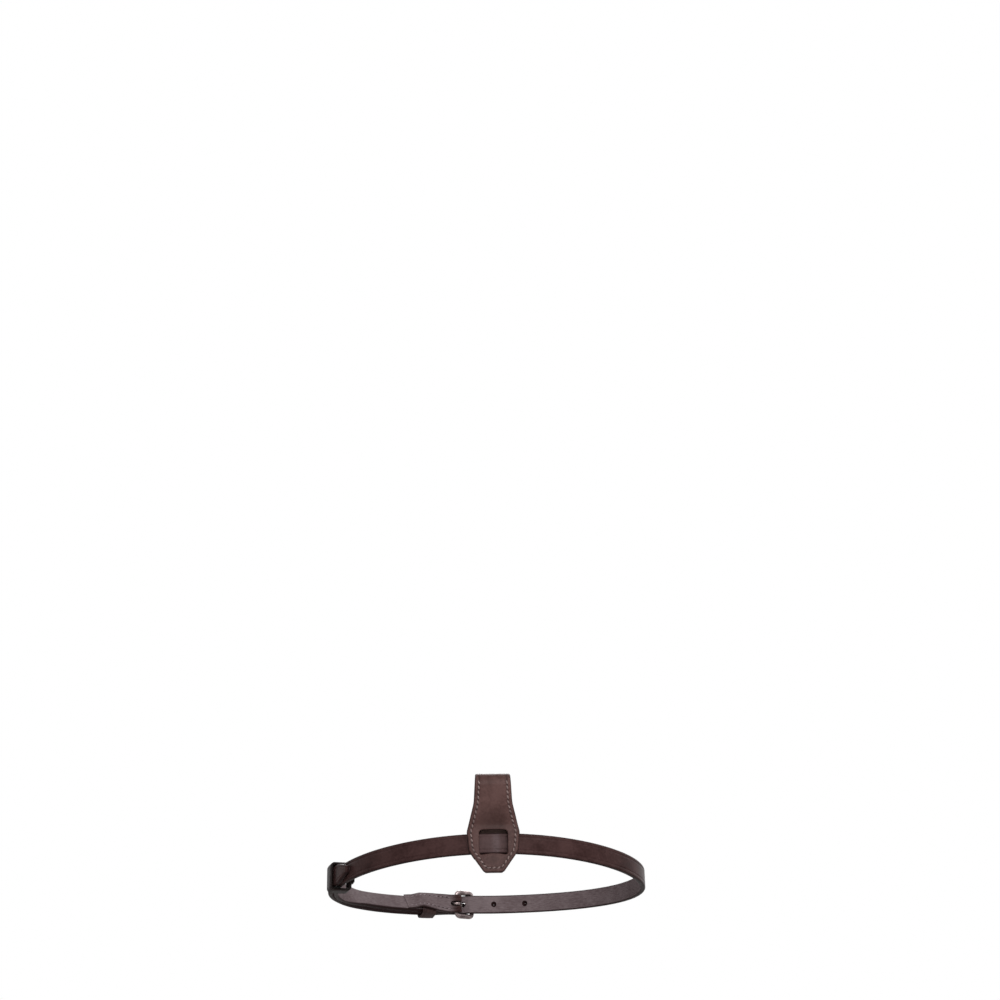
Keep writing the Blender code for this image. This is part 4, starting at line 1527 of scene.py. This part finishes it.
    def used_hole(self) -> tuple[float, float]:
        """Find where the tongue crosses the leather.

        Returns:
            The place and the half length of the hole that the tongue goes through.
        """
        start, rest = self.tongue_line()
        low = Vector((self.frame_end.x + self.dip_half_length, -self.dip))
        high = Vector((-self.rise_end, self.layer_step))
        leather = (high.y - low.y) / (high.x - low.x)
        tongue = (rest.y - start.y) / (rest.x - start.x)
        drop = (start.y - tongue * start.x) - (low.y - leather * low.x)
        crossing = math.atan(leather) - math.atan(tongue)
        half = self.half / math.tan(crossing) + self.tongue_wire / 2.0 / math.sin(crossing)
        return drop / (leather - tongue), half + self.used_hole_play

    def tip_outline(self) -> Line:
        """Draw the strap's tip.

        Returns:
            Half the width near the tip, as (place, half width).
        """
        half, point = self.width / 2.0, self.tip_point_width / 2.0
        end = self.tip_place
        corners = [
            (end - 3.0 * self.tip_length, half, 0.0),
            (end - self.tip_length, half, self.tip_length),
            (end, point, point),
            (end, 0.0, 0.0),
        ]
        return [(spot.x, spot.y) for spot in filleted(corners)]

    def openings(self, by_place: Line, fold: Band) -> tuple[Opening, ...]:
        """Cut the strap's holes: the slot in the fold, the hole in use and the round ones beside it.

        Args:
            by_place: The distance along the leather by place, as (place, along).
            fold: The distances along at which the fold starts and ends.

        Returns:
            The holes.
        """
        slot_half = self.tongue_wire / 2.0 + self.slot_clearance
        used, used_half = self.used_hole()
        used_middle = self.ring.girth + used + self.used_hole_swing / 2.0
        slots = [
            (sum(fold) / 2.0, (fold[1] - fold[0]) / 2.0 + self.slot_reach),
            (interpolate(by_place, used_middle), used_half + self.used_hole_swing / 2.0),
        ]
        holes = [Opening(middle, half, slot_half, slot_half) for middle, half in slots]
        size = (self.hole_diameter / 2.0,) * 3
        for count in (*range(-self.holes_before, 0), *range(1, self.holes_past + 1)):
            middle = interpolate(by_place, self.ring.girth + used + count * self.hole_pitch)
            holes.append(Opening(middle, *size, rim=self.hole_rim, neck=self.hole_neck))
        return tuple(holes)

    def sheet(self) -> Sheet:
        """Draw the strap as a sheet of leather.

        Returns:
            The sheet, with its holes.
        """
        chape = self.chape_points()
        folded = chape + self.fold_points()
        route = Route(folded + self.main_points())
        fold = route.marks[len(chape) - 1], route.marks[len(folded)]
        main = zip(route.points[len(folded) :], route.marks[len(folded) :])
        by_place = [(point.x, mark) for point, mark in main]
        outline = [(interpolate(by_place, place), half) for place, half in self.tip_outline()]
        in_slot = interpolate(by_place, self.ring.place(self.ring.front_angle))

        def thickness(along: float) -> float:
            """The thickness: thin at the skived end, and rising through the fold."""
            rise = (self.thickness - self.chape_thickness) * clamped((along - fold[0]) / (fold[1] - fold[0]))
            return self.chape_thick(self.chape_length - along) + rise

        def half_width(along: float) -> float:
            """Half the width."""
            return interpolate(outline, along)

        def rim(along: float, across: float) -> float:
            """The distance from the nearest cut edge, where the skived end counts as none."""
            return max(0.0, min(half_width(along) - abs(across), route.length - along))

        def wear_and_painted_highlight(along: float) -> float:
            """How far the grain shows the flesh colour: all of it on the folded-back leather, which is real
            wear, and a lighter patch in the slot, which is a painted highlight.
            """
            chape = smooth_step((fold[0] - along) / self.rub_fade)
            return chape + interpolate(self.slot_painted_highlight_left + self.slot_painted_highlight_right, along - in_slot)

        return Sheet(
            "strap_leather",
            route,
            lambda point, across: self.ring.spot(point.y, point.x, across),
            thickness,
            half_width,
            self.width / 2.0,
            self.edge_radius,
            crease=Crease(),
            openings=self.openings(by_place, fold),
            rim=rim,
            marks=tuple(along for along, _ in outline),
            wear_and_painted_highlight=wear_and_painted_highlight,
        )

    def chape_seam(self, across: float) -> SeamLine:
        """Lay one row of sewing on the inside of the chape.

        Args:
            across: The row's distance across the strap.

        Returns:
            The row.
        """
        levels = [(point.x, point.y) for point in reversed(self.chape_points())]
        line = []
        for place in spaced(self.seam_start, self.chape_length - self.seam_end_margin, self.seam_steps):
            surface = interpolate(levels, place) - self.chape_thick(place) / 2.0
            line.append(self.ring.seam_point(surface, place, across))
        return line

    def make(self) -> None:
        """Make the strap and its sewing."""
        self.sheet().cut(Finish.STRAP, Body.STRAP, "flash_strap")
        for side, across in (("upper", self.seam_half_spacing), ("lower", -self.seam_half_spacing)):
            name, node = f"chape_stitches_{side}", f"chape_thread_{side}"
            self.seam.sew(name, [self.chape_seam(across)], Finish.CHAPE_THREAD, Body.STRAP, node)


@dataclass
class Keepers:
    """The sewn keeper beside the buckle and the keeper that slides along the strap."""

    strap: FlashStrap
    fixed_side_clearance: float = 0.0007
    face_clearance: float = 0.0005
    corner_radius: float = 0.002
    fixed_end_gap: float = 0.001
    runner_angle: float = 195.5
    runner_wall: float = 0.0016
    runner_length: float = 0.010
    runner_inner_slack: float = 0.0035
    runner_side_clearance: float = 0.001
    lap_half_width: float = 0.0035
    edge_share: float = 0.42
    crease: Crease = Crease(inset=0.0016, half_width=0.0004, depth=0.00016)
    pitch: float = 0.001
    columns: int = 6
    seam: Seam = Seam(pitch=0.0026, stitch_length=0.0021, thread=0.0007, seed=5)
    seam_margin: float = 0.0008
    seam_steps: int = 8

    def band(self, name: str, corners: Sequence[Corner], wall: float, place: float, length: float) -> Sheet:
        """Draw a band round the strap.

        Args:
            name: The piece's name.
            corners: Its corners as (level, across, radius), with the outside on the left of the way.
            wall: Its thickness.
            place: Its place along the strap.
            length: Its length along the strap.

        Returns:
            The band as a sheet.
        """
        half = length / 2.0
        return Sheet(
            name,
            Route(filleted(corners)),
            lambda point, along: self.strap.ring.spot(point.x, place + along, point.y),
            lambda _: wall,
            lambda _: half,
            half,
            wall * self.edge_share,
            crease=self.crease,
            pitch=self.pitch,
            columns=self.columns,
        )

    def turns(self, wall: float, inner_gap: float, side_gap: float) -> list[Corner]:
        """Place the round corners of a keeper's middle line.

        Args:
            wall: The keeper's thickness.
            inner_gap: The room between its inner run and the strap.
            side_gap: The room beside the strap's edges.

        Returns:
            The four corners from its inner run past its outside and back, as (level, across, radius).
        """
        strap, half = self.strap, wall / 2.0
        inner = -(strap.half + inner_gap + half)
        outer = strap.layer_step + strap.half + self.face_clearance + half
        side = strap.width / 2.0 + side_gap + half
        levels = ((inner, side), (outer, side), (outer, -side), (inner, -side))
        return [(level, across, self.corner_radius) for level, across in levels]

    def make_fixed(self) -> None:
        """Make the sewn keeper, whose ends are held between the strap and the chape."""
        strap, wall, end = self.strap, self.strap.keeper_wall, self.fixed_end_gap / 2.0
        turns = self.turns(wall, strap.seat_gap, self.fixed_side_clearance)
        inner = turns[0][0]
        corners = [(inner, end, 0.0), *turns, (inner, -end, 0.0)]
        band = self.band("fixed_keeper_leather", corners, wall, strap.keeper_distance, strap.keeper_length)
        band.cut(Finish.KEEPER, Body.STRAP, "fixed_keeper")

    def make_runner(self) -> None:
        """Make the sliding keeper, whose ends lap on the inside, and the seam through its lap."""
        strap, half, reach = self.strap, self.runner_wall / 2.0, self.lap_half_width
        turns = self.turns(self.runner_wall, self.runner_inner_slack, self.runner_side_clearance)
        inner, side, radius = turns[0]
        lap = inner - self.runner_wall - strap.seat_gap
        corners = [(lap, -reach, 0.0), (lap, side, radius), *turns[1:], (inner, reach, 0.0)]
        place = strap.ring.place(self.runner_angle)
        band = self.band("runner_keeper_leather", corners, self.runner_wall, place, self.runner_length)
        band.cut(Finish.RUNNER, Body.RUNNER, "runner_keeper")
        reach -= self.seam_margin
        shares = spaced(-1.0, 1.0, self.seam_steps)
        line = [strap.ring.seam_point(lap - half, place, reach * share) for share in shares]
        node = "runner_keeper_thread"
        self.seam.sew("runner_keeper_stitches", [line], Finish.THREAD, Body.RUNNER, node)

    def make(self) -> None:
        """Make both keepers."""
        self.make_fixed()
        self.make_runner()


@dataclass
class Buckle:
    """The wire buckle: its frame, whose bar lies in the strap's fold, and its tongue."""

    strap: FlashStrap
    side_clearance: float = 0.001
    corner_radius: float = 0.003
    side_swell: float = 0.0009
    swell_delay: float = 0.2
    tongue_half_width: float = 0.00125
    tongue_overhang: float = 0.0016
    tongue_loop_start: float = 90.0
    tongue_loop_turn: float = 290.0
    tongue_steps: int = 32
    tongue_tip_share: float = 0.72
    taper_length: float = 0.4
    nose_length: float = 0.08
    nose_least: float = 0.02

    def directions(self) -> tuple[Vector, float, Matrix]:
        """Place the buckle.

        Returns:
            The bar's middle, the distance to the far side's and the turn from the buckle's axes to
            the world's.
        """
        ring, end_place = self.strap.ring, self.strap.frame_end
        bar = ring.spot(self.strap.bar_level, 0.0, 0.0)
        end = ring.spot(end_place.y, end_place.x, 0.0)
        along = (end - bar).normalized()
        across = (ring.spot(0.0, 0.0, ring.probe) - ring.spot(0.0, 0.0, 0.0)).normalized()
        out = across.cross(along).normalized()
        return bar, (end - bar).length, Matrix((along, out.cross(along), out)).transposed()

    def make_frame(self) -> None:
        """Make the frame, whose sides are thicker than its bar."""
        bar, length, turn = self.directions()
        radius = self.strap.bar_radius
        side = self.strap.width / 2.0 + self.side_clearance + radius
        places = ((0.0, -side), (length, -side), (length, side), (0.0, side))
        points, radii = [], []
        for spot in filleted([(x, y, self.corner_radius) for x, y in places], closed=True):
            beyond = (abs(spot.y) - self.strap.width / 2.0) / self.side_clearance
            swell = self.side_swell * smooth_step(beyond - self.swell_delay) / 2.0
            points.append(bar + turn @ Vector((spot.x, spot.y - math.copysign(swell, spot.y), 0.0)))
            radii.append((radius, radius + swell))
        out = turn @ Vector((0.0, 0.0, 1.0))
        wire = rod_piece("buckle_frame_wire", points, out, radii, True, Finish.METAL)
        dress(wire, Body.BUCKLE, "buckle_frame")

    def make_tongue(self) -> None:
        """Make the tongue: a loop round the bar and a straight part that tapers to a rounded nose."""
        bar, length, turn = self.directions()
        wire = self.strap.tongue_wire / 2.0
        loop = self.strap.bar_radius + self.strap.seat_gap + wire
        shares = spaced(0.0, 1.0, self.tongue_steps)
        local = []
        for share in shares:
            angle = math.radians(self.tongue_loop_start + self.tongue_loop_turn * (1.0 - share))
            local.append(Vector((loop * math.cos(angle), 0.0, loop * math.sin(angle))))
        radii = [(self.tongue_half_width, wire)] * len(local)
        foot = local[-1]
        for share in shares[1:]:
            local.append(foot + Vector(((length + self.tongue_overhang) * share, 0.0, 0.0)))
            tapered = smooth_step((share - (1.0 - self.taper_length)) / self.taper_length)
            rounded = max(0.0, (share - (1.0 - self.nose_length)) / self.nose_length)
            taper = 1.0 - (1.0 - self.tongue_tip_share) * tapered
            nose = math.sqrt(max(self.nose_least, 1.0 - rounded**2))
            radii.append((self.tongue_half_width * taper * nose, wire * taper * nose))
        across = turn @ Vector((0.0, 1.0, 0.0))
        points = [bar + turn @ spot for spot in local]
        tongue = rod_piece("buckle_tongue_wire", points, across, radii, False, Finish.METAL)
        dress(tongue, Body.TONGUE, "buckle_tongue")

    def make(self) -> None:
        """Make the frame and the tongue."""
        self.make_frame()
        self.make_tongue()


# The hanger


@dataclass
class Hanger:
    """The stitched hanger: a front leather whose upper part is folded into a loop, and its lining.

    Heights count from the middle of the strap. The two lines of painted shade say how much the grain is
    darkened, by height: the one all over, darker toward the tip, and the other along the middle of the
    bend just above the window.
    """

    strap: FlashStrap
    thickness: float = 0.0022
    lining_thickness: float = 0.0014
    face_clearance: float = 0.0004
    edge_clearance: float = 0.0014
    window_half_width: float = 0.0083
    window_corner: float = 0.002
    window_dome: float = 0.0012
    tip_drop: float = 0.0171
    tip_half_width: float = 0.0057
    tip_corner: float = 0.0015
    hip_drop: float = 0.0048
    hip_half_width: float = 0.0143
    shoulder_height: float = 0.0065
    shoulder_half_width: float = 0.0155
    waist_height: float = 0.0225
    tab_half_width: float = 0.0112
    tab_taper: float = 3.5
    bend_height: float = 0.0105
    lean: float = 20.0
    front_bow: float = 0.0006
    closed_length: float = 0.0012
    opening_height: float = 0.0254
    opening_depth: float = 0.008
    opening_bottom_slope: float = 0.0045
    tail: float = 0.0008
    lining_top_margin: float = 0.0006
    lining_inset: float = 0.0007
    curve_fade_start: float = 0.0115
    curve_fade_length: float = 0.0045
    arc_step: float = 4.0
    bow_ease: float = 20.0
    edge_share: float = 0.42
    pitch: float = 0.0011
    fine_pitch: float = 0.0009
    columns: int = 26
    window_rim: float = 0.0005
    window_margin: float = 0.001
    seam: Seam = Seam()
    seam_inset: float = 0.0024
    seam_corner: float = 0.0012
    seam_step: float = 0.0005
    seam_miter: float = 0.5
    # painted shade by height: all over, darker toward the tip, and along the middle of the bend above the
    # window
    painted_shade_by_height: Line = ((-0.018, 0.42), (0.006, 0.34), (0.012, 0.3), (0.024, 0.0))
    painted_bend_shade: Line = ((0.0064, 0.0), (0.0074, 0.5), (0.013, 0.55), (0.024, 0.0))
    painted_bend_shade_half_width: float = 0.005
    painted_bend_shade_fade: float = 0.0045

    @property
    def front_level(self) -> float:
        """The level of the middle of the front leather over the middle of the strap."""
        return self.strap.half + self.face_clearance + self.thickness / 2.0

    @property
    def window_half_height(self) -> float:
        """Half the height of the window that the strap shows in."""
        return self.strap.width / 2.0 + self.edge_clearance

    def spot(self, point: Vector, sideways: float) -> Vector:
        """The world point of the hanger's own coordinates.

        Args:
            point: The point as (outward, up) from the middle of the strap.
            sideways: The distance to the right.

        Returns:
            The point in the world: the lower part follows the ring, and the loop is flat.
        """
        ring = self.strap.ring
        fade = 1.0 - smooth_step((point.y - self.curve_fade_start) / self.curve_fade_length)
        radius = ring.radius + point.x
        sag = radius - math.sqrt(radius * radius - sideways * sideways)
        front = ring.centre.y - ring.radius
        middle = ring.centre.z + ring.front_rise
        return Vector((sideways, front - point.x + fade * sag, point.y + middle))

    def tab_edge(self, up: float) -> float:
        """Half the hanger's width at a height above its waist, where it narrows upward."""
        return self.tab_half_width - (up - self.waist_height) * math.tan(math.radians(self.tab_taper))

    def side_corners(self) -> list[Corner]:
        """Place the corners of the right-hand edge seen from the front.

        Returns:
            The corners from the tip up, as (x, up, radius).
        """
        top = self.bend_height + self.opening_height + 2.0 * self.opening_depth
        return [
            (self.tip_half_width, -self.tip_drop, self.tip_corner),
            (self.hip_half_width, -self.hip_drop, self.shoulder_height),
            (self.shoulder_half_width, self.shoulder_height, self.shoulder_height),
            (self.tab_half_width, self.waist_height, self.waist_height),
            (self.tab_edge(top), top, 0.0),
        ]

    def outline(self) -> Line:
        """Half the hanger's width by height, as (up, half width)."""
        return [(spot.y, spot.x) for spot in filleted(self.side_corners(), arc_step=self.arc_step)]

    def lean_ways(self) -> tuple[Vector, Vector, Vector]:
        """The foot of the loop's front, which leans back, the way up it and the way back through it."""
        along = Vector((math.sin(math.radians(self.lean)), math.cos(math.radians(self.lean))))
        return Vector((self.front_level, self.bend_height)), along, Vector((-along.y, along.x))

    def front_corners(self) -> list[Corner]:
        """Place the corners of the front leather.

        Returns:
            The corners up the front, over the top of the loop and down its back, as (outward, up, radius).
        """
        foot, along, back = self.lean_ways()
        depth, thick = self.opening_depth, self.thickness
        top = foot + along * (self.closed_length + self.opening_height + thick / 2.0)
        bow = foot.lerp(top, 0.5) - back * self.front_bow
        span = back * (depth + thick)
        step = thick + self.strap.seat_gap
        back_foot = foot + span + along * (self.closed_length + self.opening_bottom_slope)
        closed_top = foot + back * step + along * self.closed_length
        closed_bend = self.bend_height + step * math.tan(math.radians(self.lean / 2.0))
        return [
            (self.front_level, -self.tip_drop, 0.0),
            (*foot, depth),
            (*bow, self.bow_ease * depth),
            (*top, (depth + thick) / 2.0),
            (*(top + span), (depth + thick) / 2.0),
            (*back_foot, depth / 2.0),
            (*closed_top, depth / 4.0),
            (self.front_level - step, closed_bend, depth / 4.0),
            (self.front_level - step, self.window_half_height + self.tail, 0.0),
        ]

    def lining_corners(self) -> list[Corner]:
        """Place the corners of the lining.

        Returns:
            The corners from its top down to the tip, as (outward, up, radius).
        """
        half = self.lining_thickness / 2.0
        gap = self.strap.seat_gap
        behind_tail = self.front_level - self.thickness * 1.5 - 2.0 * gap - half
        behind_strap = -(self.strap.half + self.face_clearance + half)
        under_front = self.front_level - self.thickness / 2.0 - gap - half
        shelf = self.window_half_height + half
        bend = self.lining_thickness
        return [
            (behind_tail, self.bend_height + self.lining_top_margin, 0.0),
            (behind_tail, shelf + half, bend),
            (behind_strap, self.window_half_height - half, bend),
            (behind_strap, -shelf, bend),
            (under_front, -shelf, bend),
            (under_front, -self.tip_drop, 0.0),
        ]

    def layer(self, name: str, corners: Sequence[Corner], thick: float, inset: float) -> Sheet:
        """Draw one leather of the hanger.

        Args:
            name: The piece's name.
            corners: Its corners as (outward, up, radius), with the grain side on the left of the way.
            thick: Its thickness.
            inset: How far its edge stays behind the hanger's outline.

        Returns:
            The leather as a sheet.
        """
        route = Route(filleted(corners))
        outline = self.outline()
        edge = [Vector((half, up)) for up, half in outline]
        marks = []
        for (low, high), (start, end) in zip(pairwise(route.marks), pairwise(route.points)):
            for up, _ in outline:
                if min(start.y, end.y) < up < max(start.y, end.y):
                    marks.append(low + (high - low) * (up - start.y) / (end.y - start.y))

        def half_width(along: float) -> float:
            """Half the width at the height that the leather has there."""
            return interpolate(outline, route.at(along)[0].y) - inset

        def rim(along: float, across: float) -> float:
            """The distance from the outline, seen from the front.

            Args:
                along: The distance along the leather.
                across: The distance from its middle line.

            Returns:
                The distance, 0 on the outline.
            """
            here = Vector((abs(across), route.at(along)[0].y))
            near = here.y + self.tip_drop
            for start, end in pairwise(edge):
                side = end - start
                share = clamped((here - start).dot(side) / side.length_squared)
                near = min(near, (start + side * share - here).length)
            return max(0.0, near)

        return Sheet(
            name,
            route,
            self.spot,
            lambda _: thick,
            half_width,
            self.shoulder_half_width,
            thick * self.edge_share,
            pitch=self.pitch,
            fine_pitch=self.fine_pitch,
            columns=self.columns,
            rim=rim,
            marks=tuple(marks),
        )

    def seam_path(self) -> list[Vector]:
        """Draw the seam seen from the front, inside the outline.

        Returns:
            Its points down the left, across the tip and up the right, as (x, up).
        """
        foot, along, _ = self.lean_ways()
        edge = self.side_corners()
        top = foot.y + along.y * (self.closed_length + self.opening_height - self.opening_depth / 4.0)
        edge[-1] = (self.tab_edge(top), top, 0.0)
        ways = [Vector((0.0, -1.0))]
        for (x0, up0, _), (x1, up1, _) in pairwise(edge):
            ways.append(Vector((up1 - up0, x0 - x1)).normalized())
        ways.append(ways[-1])
        inset = [(0.0, self.seam_inset - self.tip_drop, 0.0)]
        for (x, up, radius), before, after in zip(edge, ways, ways[1:]):
            mean = (before + after).normalized()
            moved = Vector((x, up)) - mean * self.seam_inset / max(self.seam_miter, mean.dot(before))
            inset.append((moved.x, moved.y, max(radius, self.seam_corner)))
        right = filleted(inset)
        return [Vector((-spot.x, spot.y)) for spot in reversed(right)] + right[1:]

    def sewn(self, path: Sequence[Vector], surface: Line, side: float) -> SeamLine:
        """Lay a seam on a surface of the hanger.

        Args:
            path: The seam seen from the front, as (x, up).
            surface: The leather's middle by height, as (up, outward).
            side: Half the leather's thickness, less than 0 for its back.

        Returns:
            The seam's points in the world, each with the direction off the leather.
        """
        step = self.seam_step
        route = Route(path)
        line = []
        for place in spaced(0.0, route.length, math.ceil(route.length / step)):
            spot, _ = route.at(place)
            rise = interpolate(surface, spot.y + step) - interpolate(surface, spot.y - step)
            off = Vector((2.0 * step, -rise)).normalized()
            middle = Vector((interpolate(surface, spot.y), spot.y))
            here = self.spot(middle + off * side, spot.x)
            away = self.spot(middle + off * 2.0 * side, spot.x) - here
            line.append((here, away.normalized()))
        return line

    def seams(self) -> list[SeamLine]:
        """Lay the seam on the front, and where it comes out on the lining below the strap.

        Returns:
            The two rows.
        """
        path = self.seam_path()
        front = [(spot.y, spot.x) for spot in filleted(self.front_corners()[:4])]
        (_, shelf, _), (level, _, _) = self.lining_corners()[-2:]
        low = [spot for spot in path if spot.y < shelf - self.lining_thickness]
        return [
            self.sewn(path, front, self.thickness / 2.0),
            self.sewn(low, [(-self.tip_drop, level), (shelf, level)], -self.lining_thickness / 2.0),
        ]

    def front(self) -> Sheet:
        """Draw the front leather with its window and its painted shade.

        Returns:
            The leather as a sheet.
        """
        sheet = self.layer("hanger_front_leather", self.front_corners()[::-1], self.thickness, 0.0)
        middle = sheet.route.length - self.tip_drop
        window = Opening(
            middle,
            self.window_half_height,
            self.window_half_width,
            self.window_corner,
            rim=self.window_rim,
            margin=self.window_margin,
            dome=self.window_dome,
        )

        # painted shade: the grain is darker toward the tip and just above the window
        def painted_shade(along: float, across: float) -> float:
            """How much painted shade darkens the grain here."""
            up, past = middle - along, (abs(across) - self.painted_bend_shade_half_width) / self.painted_bend_shade_fade
            return interpolate(self.painted_shade_by_height, up) + (1.0 - smooth_step(past)) * interpolate(self.painted_bend_shade, up)

        return replace(sheet, openings=(window,), painted_shade=painted_shade)

    def make(self) -> None:
        """Make the front leather, the lining and the seam."""
        self.front().cut(Finish.HANGER, Body.HANGER, "hanger_front", Slot.HANGER)
        corners, thick = self.lining_corners(), self.lining_thickness
        lining = self.layer("hanger_lining_leather", corners, thick, self.lining_inset)
        lining.cut(Finish.LINING, Body.HANGER, "hanger_lining", Slot.LINING)
        self.seam.sew("hanger_stitches", self.seams(), Finish.THREAD, Body.HANGER, "hanger_thread")


# The studio


@dataclass(frozen=True)
class Lamp:
    """A soft rectangular lamp."""

    name: str
    place: tuple[float, float, float]
    width: float
    height: float
    power: float


@dataclass
class Studio:
    """The camera of the photograph, plain soft light and a pale floor."""

    ring: Ring
    camera_distance: float = 1.150
    camera_elevation: float = -10.06
    camera_roll: float = 1.01
    camera_turn: float = -1.6
    focal_pixels: float = 1788.3
    image_pixels: float = 1000.0
    ring_pixel: tuple[float, float] = (489.35, 884.06)
    sensor: float = 36.0
    clip_start: float = 0.01
    floor_height: float = -0.42
    floor_size: float = 12.0
    floor_cells: int = 4
    fill_level: float = 0.13
    lamps: tuple[Lamp, ...] = (
        Lamp("strip_lamp", (0.12, -1.60, 0.32), 0.14, 0.8, 11.0),
        Lamp("soft_lamp", (-0.22, -1.60, 0.10), 0.6, 0.6, 2.6),
        Lamp("key_lamp", (0.85, -1.30, 1.05), 0.9, 0.9, 17.0),
        Lamp("rear_lamp", (0.20, 1.40, 1.10), 0.9, 0.9, 16.0),
    )

    def make_camera(self) -> None:
        """Place the camera so that the ring's middle falls on its pixel in the photograph."""
        elevation, roll = math.radians(self.camera_elevation), math.radians(self.camera_roll)
        back = Vector((0.0, -math.cos(elevation), math.sin(elevation)))
        turn = Matrix.Rotation(math.radians(self.camera_turn), 3, "Z")
        right = Vector((1.0, 0.0, 0.0))
        basis = Matrix((right, back.cross(right), back)) @ turn.transposed()
        rolled = Matrix.Rotation(roll, 3, "Z")
        half = self.image_pixels / 2.0
        sideways, down = (pixel - half for pixel in self.ring_pixel)
        target = Vector((sideways, -down, -self.focal_pixels)).normalized()
        swing = Vector((0.0, 0.0, -1.0)).rotation_difference(target).to_matrix()
        to_camera = swing @ rolled @ basis
        data = bpy.data.cameras.new("photo_camera")
        data.sensor_width = self.sensor
        data.lens = self.focal_pixels / self.image_pixels * self.sensor
        data.clip_start = self.clip_start
        camera = placed("photo_camera", data)
        place = self.ring.centre + turn @ back * self.camera_distance
        camera.matrix_world = Matrix.Translation(place) @ to_camera.transposed().to_4x4()
        bpy.context.scene.camera = camera

    def make_lamps(self) -> None:
        """Hang the lamps, each turned to the middle of the ring."""
        for lamp in self.lamps:
            data = bpy.data.lights.new(lamp.name, "AREA")
            data.shape = "RECTANGLE"
            data.size = lamp.width
            data.size_y = lamp.height
            data.energy = lamp.power
            item = placed(lamp.name, data)
            item.location = lamp.place
            item.rotation_euler = (self.ring.centre - item.location).to_track_quat("-Z", "Y").to_euler()

    def make_world(self) -> None:
        """A soft even light, which the camera and the reflections see as white."""
        world = bpy.data.worlds.new("studio_world")
        world.use_nodes = True
        bpy.context.scene.world = world
        tree = Tree(world.node_tree)
        camera, glossy, through = (tree.ray(kind) for kind in ("Camera", "Glossy", "Transmission"))
        seen = tree.math("MAXIMUM", tree.math("MAXIMUM", camera, glossy), through)
        shaders = {0: seen}
        for number, strength in ((1, self.fill_level), (2, 1.0)):
            inputs = {"Color": (1.0, 1.0, 1.0, 1.0), "Strength": strength}
            shaders[number] = tree.node("ShaderNodeBackground", None, inputs)
        both = tree.node("ShaderNodeMixShader", None, shaders)
        tree.node("ShaderNodeOutputWorld", None, {"Surface": both})

    def make_floor(self) -> None:
        """Lay a pale floor under the object."""
        work = bmesh.new()
        cells = self.floor_cells
        bmesh.ops.create_grid(work, x_segments=cells, y_segments=cells, size=self.floor_size / 2.0)
        bmesh.ops.translate(work, verts=work.verts, vec=(0.0, 0.0, self.floor_height))
        mesh = bpy.data.meshes.new("studio_floor")
        work.to_mesh(mesh)
        work.free()
        mesh.materials.append(material_of(Finish.FLOOR))
        placed("studio_floor", mesh)

    def make(self) -> None:
        """Make the whole studio."""
        self.make_camera()
        self.make_lamps()
        self.make_world()
        self.make_floor()
        bpy.context.scene.view_settings.view_transform = "Standard"


def ring_of_frame() -> Ring:
    """The ring, whose middle is the axis that the strap slides round."""
    joint = next(joint for joint in frame["joints"] if joint["name"] == "strap_slide")
    return Ring(Vector(joint["pos_m"]))


def save_sizes() -> None:
    """Bring the scene's placements up to date.
    """
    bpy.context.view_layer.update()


def main() -> None:
    """Build the object's looks and the studio."""
    logging.basicConfig(level=logging.INFO, format="%(name)s: %(message)s")
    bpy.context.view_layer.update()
    strap = FlashStrap(ring_of_frame())
    for part in (Studio(strap.ring), strap, Keepers(strap), Buckle(strap), Hanger(strap)):
        part.make()
    save_sizes()


if __name__ == "__main__":
    main()
